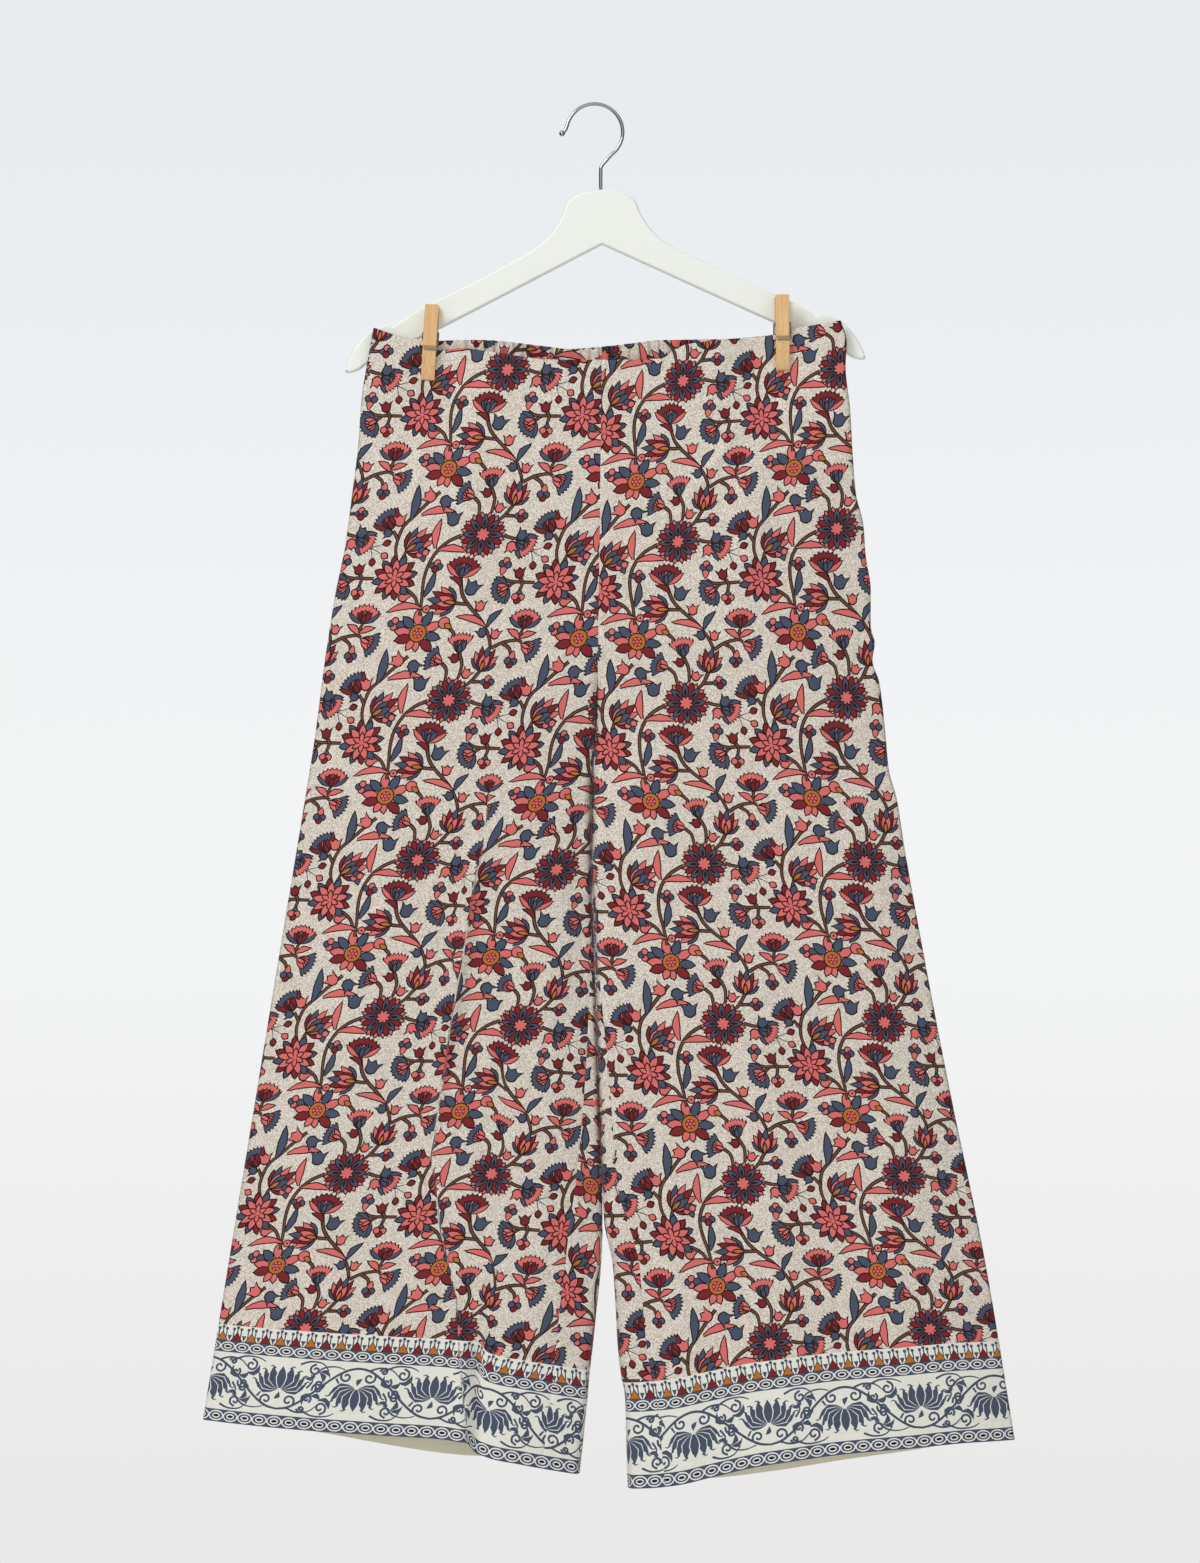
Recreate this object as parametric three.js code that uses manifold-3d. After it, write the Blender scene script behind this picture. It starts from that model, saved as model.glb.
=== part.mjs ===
// Palazzo pants hung by two spring clothes-pegs from a plain wooden hanger.
// Millimetres, +Z up, the front faces -Y. The origin is the inner top of the hook, where a rail holds it.
// Left and right are as seen from the front.
import * as THREE from 'three';
import { mergeVertices } from 'three/addons/utils/BufferGeometryUtils.js';
import Module from 'manifold-3d';

// ---------- driving dimensions ----------
const WALL = 1.4; // cloth wall
const SEAM_GAP = 0.3; // between two pieces of cloth at a seam
const INSEAM_GAP = 0.5; // at the inseams, which run over a sharp fold
const CROTCH_Z = -534;
const RISE = 350; // rows of cloth above the crotch, counted down from the waist edge
const INSEAM = 576; // rows of cloth below it
const CASING = 25; // height of the elastic casing at the back
const FOLD_R = 1.8; // half the depth of the pressed side seams
const GATHERS = 24; // in each half of the back
const GATHER_AMP = 0.9;
const GATHER_FADE = 175; // the gathers have spread out this far below the waist
const PINCH = 1.55; // middle of each wall to the middle plane inside a peg

const HOOK_WIRE_R = 1.5;
const HOOK_R = 23.3;
const HOOK_BALL_R = 2.5;
const STEM_X = 5.1;
const HANGER_THICK = 10;
const PEG_HALF_DEPTH = 9.2;
const PLANE_Y = -(HANGER_THICK / 2 + SEAM_GAP + PEG_HALF_DEPTH); // pegs and cloth hang in front of the arms
const HANGER_TOP = new THREE.Vector3(5.1, 0, -70);
const HANGER_TILT = THREE.MathUtils.degToRad(1.5);
const STEM_HOLE_R = 1.9;
const STEM_DEPTH = 14;

const PEG_LENGTH = 62;
const PEG_WIDTH = 11.3;
const PEGS = [
  { side: 'left', x: -133.7, z: -167.5, lean: 3.4 },
  { side: 'right', x: 154.4, z: -159.4, lean: -0.65 },
];
const SPRING_WIRE_R = 0.6;
const SPRING_COIL_R = 2.0;
const SPRING_TURNS = 5;
const SPRING_S = 22.4; // coil centre, down from the handle ends
const GROOVE_S = 36.5; // wire groove, down from the handle ends

// ---------- outline tables, each row one height or one place across ----------
const SIDE_LEFT = [
  { z: -186, x: -182.4 },
  { z: -215, x: -187.6 },
  { z: -246, x: -192.4 },
  { z: -282, x: -194.9 },
  { z: -322, x: -199.8 },
  { z: -366, x: -205.8 },
  { z: -409, x: -214.4 },
  { z: -464, x: -222.9 },
  { z: -521, x: -230.3 },
  { z: -574, x: -238.7 },
  { z: -700, x: -259.6 },
  { z: -900, x: -292.5 },
  { z: -1086, x: -322.9 },
];
const SIDE_RIGHT = [
  { z: -180, x: 203.2 },
  { z: -198, x: 208.1 },
  { z: -217, x: 207.1 },
  { z: -255, x: 211.0 },
  { z: -288, x: 212.8 },
  { z: -322, x: 215.5 },
  { z: -348, x: 221.7 },
  { z: -374, x: 223.7 },
  { z: -402, x: 227.8 },
  { z: -432, x: 227.8 },
  { z: -446, x: 231.1 },
  { z: -460, x: 229.2 },
  { z: -478, x: 234.8 },
  { z: -518, x: 239.7 },
  { z: -550, x: 242.7 },
  { z: -574, x: 249.2 },
  { z: -616, x: 255.9 },
  { z: -707, x: 272.3 },
  { z: -814, x: 292.9 },
  { z: -954, x: 321.8 },
  { z: -1102, x: 346.5 },
];
// The inner edges run together down to the gap between the legs.
const INNER_EDGE = [
  { z: -180, left: 6.3, right: 6.3 },
  { z: -493, left: 2.1, right: 2.1 },
  { z: -526, left: 0.4, right: 0.4 },
  { z: -559, left: -2.1, right: -2.1 },
  { z: -616, left: -2.4, right: -2.4 },
  { z: -707, left: 0.4, right: 0.4 },
  { z: -900, left: 6.4, right: 6.4 },
  { z: -925, left: 6.7, right: 8.2 },
  { z: -956, left: 5.7, right: 14.6 },
  { z: -995, left: 1.8, right: 17.4 },
  { z: -1025, left: -1.2, right: 19.0 },
  { z: -1049, left: -4.0, right: 21.6 },
  { z: -1066, left: -5.4, right: 24.9 },
  { z: -1101, left: -9.0, right: 26.0 },
  { z: -1142, left: -13.4, right: 27.1 },
];
const FRONT_TOP = [
  { x: -182.4, z: -186.0 },
  { x: -162, z: -192.8 },
  { x: -141, z: -196.7 },
  { x: -129, z: -204.6 },
  { x: -108, z: -203.0 },
  { x: -93, z: -205.3 },
  { x: -68, z: -209.3 },
  { x: -37, z: -213.0 },
  { x: 11, z: -213.2 },
  { x: 55, z: -212.2 },
  { x: 66, z: -205.5 },
  { x: 76, z: -200.6 },
  { x: 115, z: -195.6 },
  { x: 146, z: -192.4 },
  { x: 161, z: -187.5 },
  { x: 182, z: -183.8 },
  { x: 203.2, z: -180.0 },
];
const BACK_TOP = [
  { x: -182.4, z: -186.0 },
  { x: -162, z: -192.4 },
  { x: -141, z: -196.6 },
  { x: -93, z: -195.1 },
  { x: -43, z: -199.8 },
  { x: -21, z: -202.2 },
  { x: 4.5, z: -200.6 },
  { x: 32, z: -197.5 },
  { x: 52, z: -195.1 },
  { x: 115, z: -194.0 },
  { x: 146, z: -191.6 },
  { x: 161, z: -186.9 },
  { x: 182, z: -183.8 },
  { x: 203.2, z: -180.0 },
];
const HEM = {
  left: [
    { x: -322.9, front: -1086.0, back: -1086.0 },
    { x: -250, front: -1090.5, back: -1097.0 },
    { x: -180, front: -1095.0, back: -1110.0 },
    { x: -107, front: -1100.3, back: -1120.0 },
    { x: -97, front: -1111.0, back: -1120.5 },
    { x: -60, front: -1119.5, back: -1124.0 },
    { x: -13.4, front: -1129.5, back: -1129.5 },
  ],
  right: [
    { x: 27.1, front: -1141.2, back: -1141.2 },
    { x: 52, front: -1138.8, back: -1140.5 },
    { x: 95, front: -1129.5, back: -1139.0 },
    { x: 140, front: -1119.4, back: -1134.0 },
    { x: 200, front: -1111.0, back: -1125.0 },
    { x: 260, front: -1106.0, back: -1116.0 },
    { x: 310, front: -1102.8, back: -1106.5 },
    { x: 346.5, front: -1102.5, back: -1102.5 },
  ],
};
// How far the inseam sits round on the front of each leg.
const INSEAM_WRAP = [
  { z: -534, left: 0, right: 0 },
  { z: -640, left: 0, right: 0 },
  { z: -740, left: 5.5, right: 4.0 },
  { z: -806, left: 11.0, right: 8.5 },
  { z: -895, left: 21.5, right: 12.5 },
  { z: -936, left: 27.5, right: 20.5 },
  { z: -1000, left: 29.5, right: 22.0 },
  { z: -1060, left: 29.0, right: 25.0 },
  { z: -1142, left: 31.5, right: 30.5 },
];
// Middle depth of each wall in front of or behind the middle plane.
const DEPTH = [
  { v: 0, front: 8, back: 8 },
  { v: 60, front: 10, back: 10 },
  { v: 200, front: 15, back: 15 },
  { v: 350, front: 15, back: 16 },
  { v: 620, front: 15, back: 16 },
  { v: 800, front: 18, back: 18 },
  { v: 926, front: 23, back: 23 },
];
// The largest folds, each a soft ridge (or trough, below zero) along a line down one wall.
const FOLDS = [
  { leg: 'left', face: 'front', x0: -90, z0: -600, x1: -126, z1: -800, width: 9, height: 3.5 },
  { leg: 'left', face: 'front', x0: -109, z0: -1000, x1: -111, z1: -1190, width: 9, height: 5 },
  { leg: 'left', face: 'front', x0: -93, z0: -1000, x1: -95, z1: -1190, width: 9, height: -5 },
  { leg: 'left', face: 'front', x0: -118, z0: -225, x1: -92, z1: -420, width: 16, height: 2.5 },
  { leg: 'left', face: 'front', x0: -185, z0: -620, x1: -232, z1: -1000, width: 24, height: 2.2 },
  { leg: 'right', face: 'front', x0: 143, z0: -225, x1: 118, z1: -420, width: 16, height: 2.5 },
  { leg: 'right', face: 'front', x0: 120, z0: -640, x1: 168, z1: -1190, width: 26, height: 4 },
  { leg: 'right', face: 'front', x0: 62, z0: -880, x1: 78, z1: -1190, width: 13, height: 2.8 },
  { leg: 'right', face: 'front', x0: 215, z0: -560, x1: 275, z1: -1040, width: 26, height: 2.4 },
  { leg: 'left', face: 'back', x0: -150, z0: -520, x1: -205, z1: -1190, width: 28, height: 4 },
  { leg: 'left', face: 'back', x0: -60, z0: -560, x1: -85, z1: -1190, width: 20, height: 3 },
  { leg: 'right', face: 'back', x0: 150, z0: -520, x1: 215, z1: -1190, width: 28, height: 4 },
  { leg: 'right', face: 'back', x0: 66, z0: -560, x1: 92, z1: -1190, width: 20, height: 3 },
];

// ---------- rows and columns of cloth ----------
const CASING_ROWS = [0, CASING];
const GATHER_ROWS = [CASING, 39, 53]; // finest columns
const SPREAD_ROWS = [53, 78, 108, 140, 175]; // half as many
const BODY_ROWS = [
  175, 218, 258, 292, 318, 336, 350, 366, 396, 440, 495, 550, 605, 660, 715, 768, 810, 840, 866, 896, 926,
];
const FINE = 96;
const MEDIUM = 48;
const COARSE = 24;
const FRONT_COLUMNS = 20;

// Columns of the body rows, measured from the inner edge (e, towards the front below zero)
// and from the side seam (d), both in mm; the columns between them are evenly spread.
const INNER_OPEN = [0, 6, 14, 24, 36, 48];
const INNER_CLOSED = [0, 0.5, 1.6, 4.5, 11, 26];
const INNER_WRAPPED = [-30, -14, -4.2, -0.5, 3, 15];
const SIDE_PRESSED = [0, 0.5, 1.8, 9];
const FRONT_INNER = [0, 0.5, 1.7, 5, 12];
const FRONT_WRAPPED = [0, 2.5, 6, 12, 20];

// ---------- interpolation ----------
const { clamp } = THREE.MathUtils;
const mix = (a, b, t) => a + (b - a) * t;

function ease(t) {
  const c = clamp(t, 0, 1);
  return c * c * (3 - 2 * c);
}

// A smooth curve without overshoot through the rows of a table.
function read(table, key, value, at) {
  const rows = table[0][key] < table[table.length - 1][key] ? table : [...table].reverse();
  const last = rows.length - 1;
  if (at <= rows[0][key]) return rows[0][value];
  if (at >= rows[last][key]) return rows[last][value];
  const i = rows.findIndex((row) => row[key] > at) - 1;
  const rise = (k) => (rows[k + 1][value] - rows[k][value]) / (rows[k + 1][key] - rows[k][key]);
  const slope = (k) => {
    if (k === 0) return rise(0);
    if (k === last) return rise(last - 1);
    const [a, b] = [rise(k - 1), rise(k)];
    return a * b > 0 ? (2 * a * b) / (a + b) : 0;
  };
  const run = rows[i + 1][key] - rows[i][key];
  const t = (at - rows[i][key]) / run;
  const [h0, h1] = [(1 + 2 * t) * (1 - t) ** 2, t * t * (3 - 2 * t)];
  const [g0, g1] = [t * (1 - t) ** 2, t * t * (t - 1)];
  return h0 * rows[i][value] + h1 * rows[i + 1][value] + run * (g0 * slope(i) + g1 * slope(i + 1));
}

// ---------- the drape ----------
// A quarter circle at a folded edge: 0 at the edge, 1 from one radius inwards.
function rounded(distance, radius) {
  const t = clamp(distance / radius, 0, 1);
  return Math.sqrt(1 - (1 - t) ** 2);
}

// A flat arch from the edge: 0 at the edge, 1 from one reach inwards.
function arched(distance, reach) {
  const t = clamp(distance / reach, 0, 1);
  return 1 - (1 - t) ** 2;
}

const sideTable = (leg) => (leg === 'left' ? SIDE_LEFT : SIDE_RIGHT);
const outward = (leg) => (leg === 'left' ? -1 : 1);

// Height of a place across a leg (t runs from the side seam to the inner edge) on row v.
function rowHeight(leg, face, t, v) {
  const side = sideTable(leg);
  if (v <= RISE) {
    const top = face === 'front' ? FRONT_TOP : BACK_TOP;
    const topX = mix(side[0].x, INNER_EDGE[0][leg], t);
    return mix(read(top, 'x', 'z', topX), CROTCH_Z, v / RISE);
  }
  const hemX = mix(side[side.length - 1].x, INNER_EDGE[INNER_EDGE.length - 1][leg], t);
  return mix(CROTCH_Z, read(HEM[leg], 'x', face, hemX), (v - RISE) / INSEAM);
}

// Closing of the two walls into a leg: 0 where the hips are one tube, 1 from the crotch down.
const closing = (v) => ease((v - 255) / (RISE - 255));

// Where the pegs hold the two walls together: 1 inside a peg, 0 away from both.
function pinching(x, z) {
  let most = 0;
  for (const peg of PEGS) {
    const dx = Math.abs(x - (peg.x - Math.tan(THREE.MathUtils.degToRad(peg.lean)) * 45));
    const outside = (x - peg.x) * Math.sign(peg.x) > 0;
    const across = 1 - ease((dx - 10) / (outside ? 75 : 48));
    const down = 1 - ease((peg.z - PEG_LENGTH - 8 - z) / 95);
    most = Math.max(most, across * down);
  }
  return most;
}

function foldHeight(leg, face, x, z) {
  let height = 0;
  for (const fold of FOLDS) {
    if (fold.leg !== leg || fold.face !== face) continue;
    const t = (z - fold.z0) / (fold.z1 - fold.z0);
    const away = (x - mix(fold.x0, fold.x1, t)) / fold.width;
    const ends = ease(t * 5) * ease((1 - t) * 5);
    height += fold.height * Math.exp(-away * away) * ends;
  }
  return height;
}

// A point in the middle of a wall: face, distance in from the inner edge, row.
function clothPoint(leg, face, inset, v) {
  const side = sideTable(leg);
  const sign = outward(leg);
  const shut = closing(v);
  const outerZ = rowHeight(leg, face, 0, v);
  const outerX = read(side, 'z', 'x', outerZ) - (sign * WALL) / 2;
  const innerZ = rowHeight(leg, face, 1, v);
  const keep = SEAM_GAP / 2 + (WALL / 2 + 0.1) * ease(shut * 2.2);
  const innerX = read(INNER_EDGE, 'z', leg, innerZ) + sign * keep;
  const width = Math.abs(outerX - innerX);
  const d = width - inset;
  const t = clamp(d / width, 0, 1);
  const x = mix(outerX, innerX, t);
  const z = rowHeight(leg, face, t, v);
  // The right leg hangs a little in front of the left one where they touch.
  const lean = (leg === 'left' ? 3 : -3.5) * ease((v - RISE) / 110) * (1 - ease((v - 720) / 150));
  const middle = PLANE_Y + lean * (1 - ease(inset / 45));
  const pinch = pinching(x, z);
  const free = FOLD_R + (read(DEPTH, 'v', face, v) - FOLD_R) * arched(d, 115);
  const inner = mix(1, mix(0.45, 1, arched(inset, 70)), shut);
  const edge = rounded(d, FOLD_R) * mix(1, rounded(inset, 5), shut);
  const relief = foldHeight(leg, face, x, z) * (1 - pinch) * arched(d, 20) * mix(1, arched(inset, 12), shut);
  const depth = edge * (mix(free * inner, PINCH, pinch) + relief);
  if (face === 'front') return new THREE.Vector3(x, middle - depth, z);
  const calm = (1 - ease((v - CASING - 25) / (GATHER_FADE - CASING - 25))) * (1 - 0.85 * pinch * pinch);
  const wave = Math.cos((2 * Math.PI * GATHERS * d) / width) * GATHER_AMP * calm * rounded(d, 4);
  return new THREE.Vector3(x, middle + depth + wave, z);
}

// Width of a leg along one row, side seam to inner edge.
function legWidth(leg, v) {
  const a = clothPoint(leg, 'front', 0, v);
  const b = clothPoint(leg, 'front', 1e6, v);
  return Math.abs(a.x - b.x);
}

function inseamWrap(leg, v) {
  return v <= RISE ? 0 : read(INSEAM_WRAP, 'z', leg, rowHeight(leg, 'front', 1, v));
}

// Column places of a back row, from the inseam edge to the side seam.
function backColumns(leg, v, count) {
  const width = legWidth(leg, v);
  const even = Array.from({ length: count + 1 }, (_, k) => (width * k) / count);
  if (count !== COARSE) return even;
  const wrap = inseamWrap(leg, v) / 30;
  const change = ease((v - GATHER_FADE) / (RISE - GATHER_FADE));
  const inner = INNER_OPEN.map((open, k) => mix(mix(open, INNER_CLOSED[k], change), INNER_WRAPPED[k], wrap));
  return even.map((plain, k) => {
    const fromSide = count - k;
    if (k < inner.length) return mix(plain, inner[k], change);
    if (fromSide < SIDE_PRESSED.length) return mix(plain, width - SIDE_PRESSED[fromSide], change);
    const run = (k - inner.length + 1) / (count - inner.length - SIDE_PRESSED.length + 2);
    const spread = mix(inner[inner.length - 1], width - SIDE_PRESSED[SIDE_PRESSED.length - 1], run);
    return mix(plain, spread, change);
  });
}

// Column places of a front row, from the side seam to the centre seam or inseam.
function frontColumns(leg, v) {
  const width = legWidth(leg, v);
  const wrap = inseamWrap(leg, v);
  const shut = closing(v);
  const last = FRONT_COLUMNS;
  const start = SIDE_PRESSED.length - 1;
  const apart = Math.min(1, wrap / 6);
  const inner = FRONT_INNER.map((place, k) => wrap + mix(k * 8, mix(place, FRONT_WRAPPED[k], apart), shut));
  const end = last - inner.length + 1;
  return Array.from({ length: last + 1 }, (_, k) => {
    if (k < start) return width - SIDE_PRESSED[k];
    if (k >= end) return inner[last - k];
    return mix(width - SIDE_PRESSED[start], inner[inner.length - 1], (k - start) / (end - start));
  });
}

// ---------- cloth pieces as rows of points ----------
function frontRows(leg) {
  const rows = [...CASING_ROWS, ...GATHER_ROWS.slice(1), ...SPREAD_ROWS.slice(1), ...BODY_ROWS.slice(1)];
  return rows.map((v) => frontColumns(leg, v).map((inset) => clothPoint(leg, 'front', inset, v)));
}

function backRow(leg, v, count) {
  return backColumns(leg, v, count).map((e) => clothPoint(leg, e < 0 ? 'front' : 'back', Math.abs(e), v));
}

function backRows(leg) {
  return [
    ...GATHER_ROWS.map((v) => backRow(leg, v, FINE)),
    ...SPREAD_ROWS.slice(1).map((v) => backRow(leg, v, MEDIUM)),
    ...BODY_ROWS.slice(1).map((v) => backRow(leg, v, COARSE)),
  ];
}

function casingRows() {
  return CASING_ROWS.map((v) => [...backRow('left', v, FINE).reverse(), ...backRow('right', v, FINE).slice(1)]);
}

// Triangles between rows; where a row has half the columns of the one above, they come in threes.
function rowTriangles(rows, flip) {
  const starts = [];
  let total = 0;
  for (const row of rows) {
    starts.push(total);
    total += row.length;
  }
  const triangles = [];
  const add = (a, b, c) => triangles.push(flip ? [a, c, b] : [a, b, c]);
  for (let j = 0; j + 1 < rows.length; j++) {
    const halved = rows[j].length > rows[j + 1].length;
    for (let k = 0; k + 1 < rows[j + 1].length; k++) {
      const up = starts[j] + (halved ? 2 * k : k);
      const low = starts[j + 1] + k;
      add(up, low, up + 1);
      add(up + 1, low, low + 1);
      if (halved) add(up + 1, low + 1, up + 2);
    }
  }
  return triangles;
}

const placeKey = (p) => `${Math.round(p.x * 500)},${Math.round(p.y * 500)},${Math.round(p.z * 500)}`;

// Normals shared by all pieces, so that two walls meet square at a seam.
function sharedNormals(pieces) {
  const sums = new Map();
  for (const { points, triangles } of pieces) {
    for (const corner of triangles) {
      const [a, b, c] = corner.map((i) => points[i]);
      const normal = b.clone().sub(a).cross(c.clone().sub(a));
      for (const i of corner) {
        const key = placeKey(points[i]);
        if (!sums.has(key)) sums.set(key, new THREE.Vector3());
        sums.get(key).add(normal);
      }
    }
  }
  return (point) => sums.get(placeKey(point)).clone().normalize();
}

// Draws the listed edge points back from their seam by half a gap.
function openSeams(points, edges) {
  const moved = points.map((p) => p.clone());
  for (const [edge, next, gap = SEAM_GAP] of edges) {
    const back = points[next].clone().sub(points[edge]).setLength(gap / 2);
    moved[edge].add(back);
  }
  return moved;
}

// A closed wall: the sheet of triangles, its inner copy, and strips round its border.
function thicken(points, normals, triangles) {
  const count = points.length;
  const position = [];
  for (const side of [0.5, -0.5]) {
    points.forEach((p, i) => position.push(...p.clone().addScaledVector(normals[i], side * WALL).toArray()));
  }
  const index = [];
  const edges = new Map();
  for (const [a, b, c] of triangles) {
    index.push(a, b, c, a + count, c + count, b + count);
    for (const [from, to] of [[a, b], [b, c], [c, a]]) {
      if (!edges.delete(`${to},${from}`)) edges.set(`${from},${to}`, [from, to]);
    }
  }
  for (const [from, to] of edges.values()) {
    index.push(to, from, from + count, to, from + count, to + count);
  }
  return meshGeometry(position, index);
}

function meshGeometry(position, index) {
  const geometry = new THREE.BufferGeometry();
  geometry.setAttribute('position', new THREE.Float32BufferAttribute(position, 3));
  geometry.setIndex(index);
  return geometry;
}

// Seams of a panel: pairs of an edge point and its neighbour inwards, and the edge points whose
// normals are turned square to the seam (the side seams across y, the centre seams across x).
function panelSeams(rows, sideFirst, values, topSeam) {
  const pairs = [];
  const square = [];
  let start = 0;
  rows.forEach((row, j) => {
    const first = [start, start + 1];
    const last = [start + row.length - 1, start + row.length - 2];
    const [side, inner] = sideFirst ? [first, last] : [last, first];
    pairs.push(side);
    square.push({ point: side[0], axis: 'y' });
    if (values[j] >= RISE) pairs.push([...inner, INSEAM_GAP]);
    if (closing(values[j]) === 0) square.push({ point: inner[0], axis: 'x' });
    start += row.length;
  });
  if (topSeam) rows[0].forEach((_, k) => pairs.push([k, k + rows[0].length]));
  return { pairs, square };
}

function casingSeams(rows) {
  const width = rows[0].length;
  const ends = [0, width - 1, width, 2 * width - 1];
  const pairs = rows[1].map((_, k) => [width + k, k]);
  for (const end of ends) {
    pairs.push([end, end % width === 0 ? end + 1 : end - 1]);
  }
  return { pairs, square: ends.map((point) => ({ point, axis: 'y' })) };
}

function clothPieces() {
  const pieces = [];
  const values = [...CASING_ROWS, ...GATHER_ROWS.slice(1), ...SPREAD_ROWS.slice(1), ...BODY_ROWS.slice(1)];
  for (const leg of ['left', 'right']) {
    const front = frontRows(leg);
    pieces.push({
      name: `front_panel_${leg}`,
      points: front.flat(),
      triangles: rowTriangles(front, leg === 'right'),
      seams: panelSeams(front, true, values, false),
    });
    const back = backRows(leg);
    pieces.push({
      name: `back_panel_${leg}`,
      points: back.flat(),
      triangles: rowTriangles(back, leg === 'right'),
      seams: panelSeams(back, false, values.slice(1), true),
    });
  }
  const casing = casingRows();
  pieces.push({
    name: 'waistband_back',
    points: casing.flat(),
    triangles: rowTriangles(casing, true),
    seams: casingSeams(casing),
  });
  return pieces;
}

function squareNormals(normals, square) {
  for (const { point, axis } of square) {
    normals[point][axis] = 0;
    normals[point].normalize();
  }
}

// ---------- bent wire ----------
function wire(points, radius, sides, steps) {
  const section = new THREE.Shape();
  section.absarc(0, 0, radius, 0, 2 * Math.PI, false);
  return new THREE.ExtrudeGeometry(section, {
    steps,
    curveSegments: sides / 2,
    bevelEnabled: false,
    extrudePath: new THREE.CatmullRomCurve3(points),
  });
}

// ---------- hook ----------
const HOOK_NECK = [
  { x: 9.6, z: -44.6 },
  { x: 6.4, z: -49.0 },
  { x: STEM_X, z: -54 },
  { x: STEM_X, z: -68 },
  { x: STEM_X, z: HANGER_TOP.z - STEM_DEPTH + 0.6 },
];

// The wire ends in a small ball.
function hookGeometry() {
  const centreZ = HOOK_WIRE_R - HOOK_R;
  const tip = new THREE.Vector3(-HOOK_R - 0.8, 0, centreZ - 4);
  const points = [tip];
  for (let degrees = 172; degrees >= -56; degrees -= 12) {
    const angle = THREE.MathUtils.degToRad(degrees);
    points.push(new THREE.Vector3(HOOK_R * Math.cos(angle), 0, centreZ + HOOK_R * Math.sin(angle)));
  }
  for (const { x, z } of HOOK_NECK) {
    points.push(new THREE.Vector3(x, 0, z));
  }
  const ball = new THREE.SphereGeometry(HOOK_BALL_R, 12, 8);
  ball.translate(tip.x, tip.y, tip.z);
  return unite(wire(points, HOOK_WIRE_R, 10, 36), ball);
}

// ---------- hanger ----------
const HANGER_UPPER = [
  { x: 20, z: -2.2 },
  { x: 27, z: -6.8 },
  { x: 31, z: -15 },
  { x: 36, z: -27 },
  { x: 45, z: -38.4 },
  { x: 56, z: -47.9 },
  { x: 73.6, z: -57.5 },
  { x: 100, z: -70.4 },
  { x: 144, z: -91 },
  { x: 157, z: -97.5 },
  { x: 170.6, z: -105.6 },
  { x: 175.5, z: -109 },
  { x: 181, z: -107.7 },
  { x: 197, z: -114.5 },
  { x: 208, z: -127.5 },
];
const HANGER_LOWER = [
  { x: 215, z: -142.6 },
  { x: 213.6, z: -146 },
  { x: 204, z: -143.6 },
  { x: 192.6, z: -136.5 },
  { x: 147, z: -116.5 },
  { x: 92, z: -90 },
  { x: 50, z: -69.5 },
  { x: 12, z: -48.5 },
];

function hangerGeometry() {
  const half = [...HANGER_UPPER, ...HANGER_LOWER];
  const outline = [new THREE.Vector2(0, 0)];
  half.forEach(({ x, z }) => outline.push(new THREE.Vector2(x, z)));
  outline.push(new THREE.Vector2(0, -42.9));
  [...half].reverse().forEach(({ x, z }) => outline.push(new THREE.Vector2(-x, z)));
  const bevel = 2.4;
  const solid = new THREE.ExtrudeGeometry(new THREE.Shape(outline.reverse()), {
    depth: HANGER_THICK - 2 * bevel,
    bevelEnabled: true,
    bevelThickness: bevel,
    bevelSize: bevel,
    bevelOffset: -bevel,
    bevelSegments: 2,
    steps: 1,
  });
  solid.translate(0, 0, bevel - HANGER_THICK / 2);
  solid.rotateX(Math.PI / 2);
  solid.rotateY(-HANGER_TILT);
  solid.translate(HANGER_TOP.x, 0, HANGER_TOP.z);
  return solid;
}

function stemHole() {
  const hole = new THREE.CylinderGeometry(STEM_HOLE_R, STEM_HOLE_R, 2 * STEM_DEPTH, 12);
  hole.rotateX(Math.PI / 2);
  hole.translate(STEM_X, 0, HANGER_TOP.z);
  return hole;
}

// ---------- clothes-pegs ----------
// Leg profile: s down from the handle end, y out from the middle plane.
const PEG_PROFILE = [
  { s: 0, y: 5.6 },
  { s: 17, y: 4.4 },
  { s: 19.5, y: 3.2 },
  { s: 25.5, y: 3.2 },
  { s: 30, y: 2.75 },
  { s: PEG_LENGTH, y: 2.6 },
  { s: PEG_LENGTH, y: 4.2 },
  { s: 56, y: 6.2 },
  { s: GROOVE_S + 2.6, y: 8.7 },
  { s: GROOVE_S + 1.1, y: 7.3 },
  { s: GROOVE_S - 1.1, y: 7.3 },
  { s: GROOVE_S - 2.6, y: 9.0 },
  { s: 30, y: PEG_HALF_DEPTH },
  { s: 0, y: PEG_HALF_DEPTH },
];

function pegLegGeometry(face) {
  const outline = PEG_PROFILE.map(({ s, y }) => new THREE.Vector2(face * y, -s));
  const bevel = 0.6;
  const leg = new THREE.ExtrudeGeometry(new THREE.Shape(outline), {
    depth: PEG_WIDTH - 2 * bevel,
    bevelEnabled: true,
    bevelThickness: bevel,
    bevelSize: bevel,
    bevelOffset: -bevel,
    bevelSegments: 1,
    steps: 1,
  });
  leg.translate(0, 0, bevel - PEG_WIDTH / 2);
  // Shape x becomes depth, shape y becomes height, the extrusion becomes width.
  leg.applyMatrix4(new THREE.Matrix4().makeBasis(
    new THREE.Vector3(0, 1, 0),
    new THREE.Vector3(0, 0, 1),
    new THREE.Vector3(1, 0, 0),
  ));
  return leg;
}

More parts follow.
